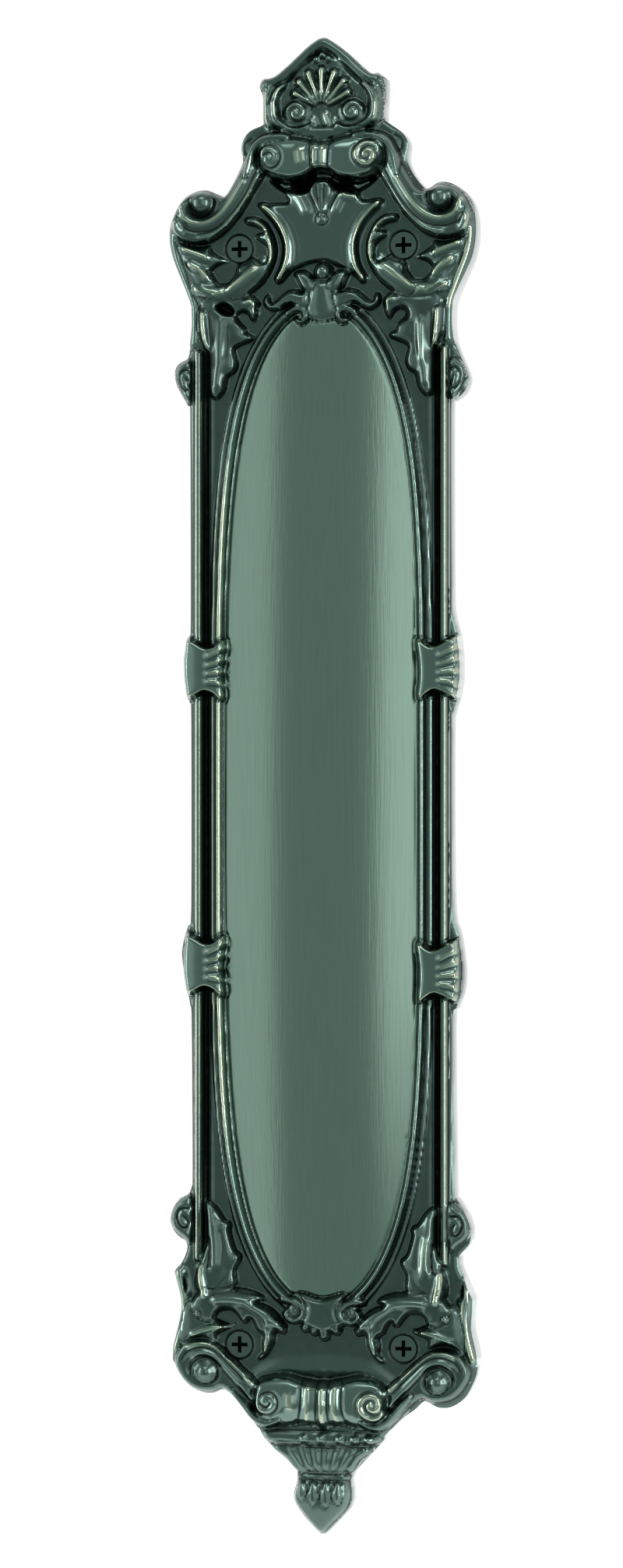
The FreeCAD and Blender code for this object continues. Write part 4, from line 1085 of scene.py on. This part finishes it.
relief = thinned(plate_mesh())
finish_plate(relief)

# Finishes: bright and dark colour, and how rough each is. The side walls get a far brighter copy of the
# nickel, a painted reflection of the white behind the plate.
black = (0.003, 0.004, 0.004)
finishes = [
    metal("cast_nickel", (0.168, 0.24, 0.215), black, (0.13, 0.38), rubbed_highlight=(0.41, 0.455, 0.35)),
    metal("brushed_nickel", (0.205, 0.29, 0.24), (0.055, 0.076, 0.065), (0.16, 0.26), brushed_grain, 0.5),
    metal("wall_nickel_painted_bright", (0.84, 0.88, 0.86), (0.2, 0.23, 0.22), (0.22, 0.4)),
]
for finish in finishes:
    relief.data.materials.append(finish)
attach(relief, "root")
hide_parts("finger_plate")

# The screw slots below the top of the heads are darkened: painted shade.
head_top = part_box("fixing_screws")[0][1]
slot_top = head_top + slot_step
screw_finish = metal("screw_nickel", (0.115, 0.155, 0.14), black, (0.3, 0.5), slot_shade_from=slot_top)
screw_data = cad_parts["fixing_screws"].data
screw_data.materials.clear()
screw_data.materials.append(screw_finish)


def panel(name, place, size, level, upright=True):
    """A soft box that shines on the plate."""
    lamp = bpy.data.lights.new(name, "AREA")
    lamp.shape = "RECTANGLE"
    lamp.size, lamp.size_y = size
    lamp.energy = level * math.pi * size[0] * size[1]
    holder = placed(name, lamp)
    holder.location = place
    aim = Vector((0.0, 0.0, place[2] if upright else 0.0))
    holder.rotation_euler = (aim - Vector(place)).to_track_quat("-Z", "Y").to_euler()


# Lamps: place, size and level. The right panel fades towards the plate's foot in steps.
panel_level = 1.02
right_x = 0.46
right_y = -0.89
right_width = 0.5
fade_steps = 6
fade_top = -0.155
fade_height = 0.03
panel("panel_right", (right_x, right_y, 0.28), (right_width, 0.84), panel_level)
for step in range(fade_steps):
    share = 1.0 - (step + 1.0) / (fade_steps + 1.0)
    place = (right_x, right_y, fade_top - fade_height * step)
    panel(f"panel_fade_{step}", place, (right_width, fade_height), panel_level * share)
panel("panel_left", (-0.95, -0.80, 0.05), (0.8, 1.5), 0.55)
panel("strip_right", (0.95, -0.42, 0.15), (0.12, 0.9), 14.0)
panel("strip_left", (-1.0, -0.25, 0.15), (0.12, 0.9), 11.0)
panel("panel_top", (0.1, -0.55, 0.9), (0.7, 0.25), 3.6, False)


def seen_rays(tree):
    """Two sockets: rays from the camera, and glossy or transmitted rays."""
    rays = tree.nodes.new("ShaderNodeLightPath").outputs
    return rays["Is Camera Ray"], maths(tree, "MAXIMUM", rays["Is Glossy Ray"], rays["Is Transmission Ray"])


# World: white to the camera, and to metal behind the plate. The room in front of the plate is dim.
room_colour = (0.36, 0.45, 0.42, 1.0)
room_end = -0.15
white_from = 0.25
white = (1.0, 1.0, 1.0, 1.0)
world = bpy.data.worlds.new("studio")
scene.world = world
world.use_nodes = True
tree = world.node_tree
place = node(tree, "ShaderNodeTexCoord").outputs["Generated"]
depth = node(tree, "ShaderNodeSeparateXYZ", Vector=place).outputs["Y"]
behind = node(tree, "ShaderNodeMapRange", Value=depth, From_Min=room_end, From_Max=white_from)
camera_ray, through_ray = seen_rays(tree)
reflected = maths(tree, "MULTIPLY", behind.outputs["Result"], through_ray)
colour = tree.nodes.new("ShaderNodeMix")
colour.data_type = "RGBA"
feed(colour.inputs["Factor"], maths(tree, "MAXIMUM", reflected, camera_ray))
feed(colour.inputs["A"], room_colour)
feed(colour.inputs["B"], white)
background = tree.nodes["Background"]
feed(background.inputs["Color"], colour.outputs["Result"])
feed(background.inputs["Strength"], 1.0)

# A pale floor under the plate's tip that keeps the plate's shadow
gap = 0.0004
half_width = 0.4
front = -0.035
rear = 0.3
grey = (0.85, 0.85, 0.85, 1.0)
shine = 0.8
edges = ((-half_width, front), (half_width, front), (half_width, rear), (-half_width, rear))
mesh = bpy.data.meshes.new("floor")
mesh.from_pydata([(x, y, cad_box[0][2] - gap) for x, y in edges], [], [(0, 1, 2, 3)])
floor = placed("floor", mesh)
material = bpy.data.materials.new("pale_floor")
material.use_nodes = True
tree = material.node_tree
seen = maths(tree, "MAXIMUM", *seen_rays(tree))
glow = maths(tree, "MULTIPLY", seen, shine)
look = {"Base Color": grey, "Roughness": 0.9, "Emission Color": white, "Emission Strength": glow}
for socket, value in look.items():
    feed(tree.nodes["Principled BSDF"].inputs[socket], value)
mesh.materials.append(material)

# Camera: a long lens from the right, level with the middle of the plate
turn = math.radians(13.0)
away_from_plate = 1.0
picture_height = 2012.0
shift_right = -19.0
shift_up = 2.0
data = bpy.data.cameras.new("photo_camera")
data.sensor_fit = "VERTICAL"
data.lens = 100.0
data.sensor_height = 31.44
data.shift_x = shift_right / picture_height
data.shift_y = shift_up / picture_height
data.clip_start = 0.01
camera = placed("photo_camera", data)
camera.location = (away_from_plate * math.sin(turn), -away_from_plate * math.cos(turn), lift * metre)
camera.rotation_euler = (math.pi / 2.0, 0.0, turn)
scene.camera = camera
scene.view_settings.view_transform = "Standard"

bpy.context.view_layer.update()
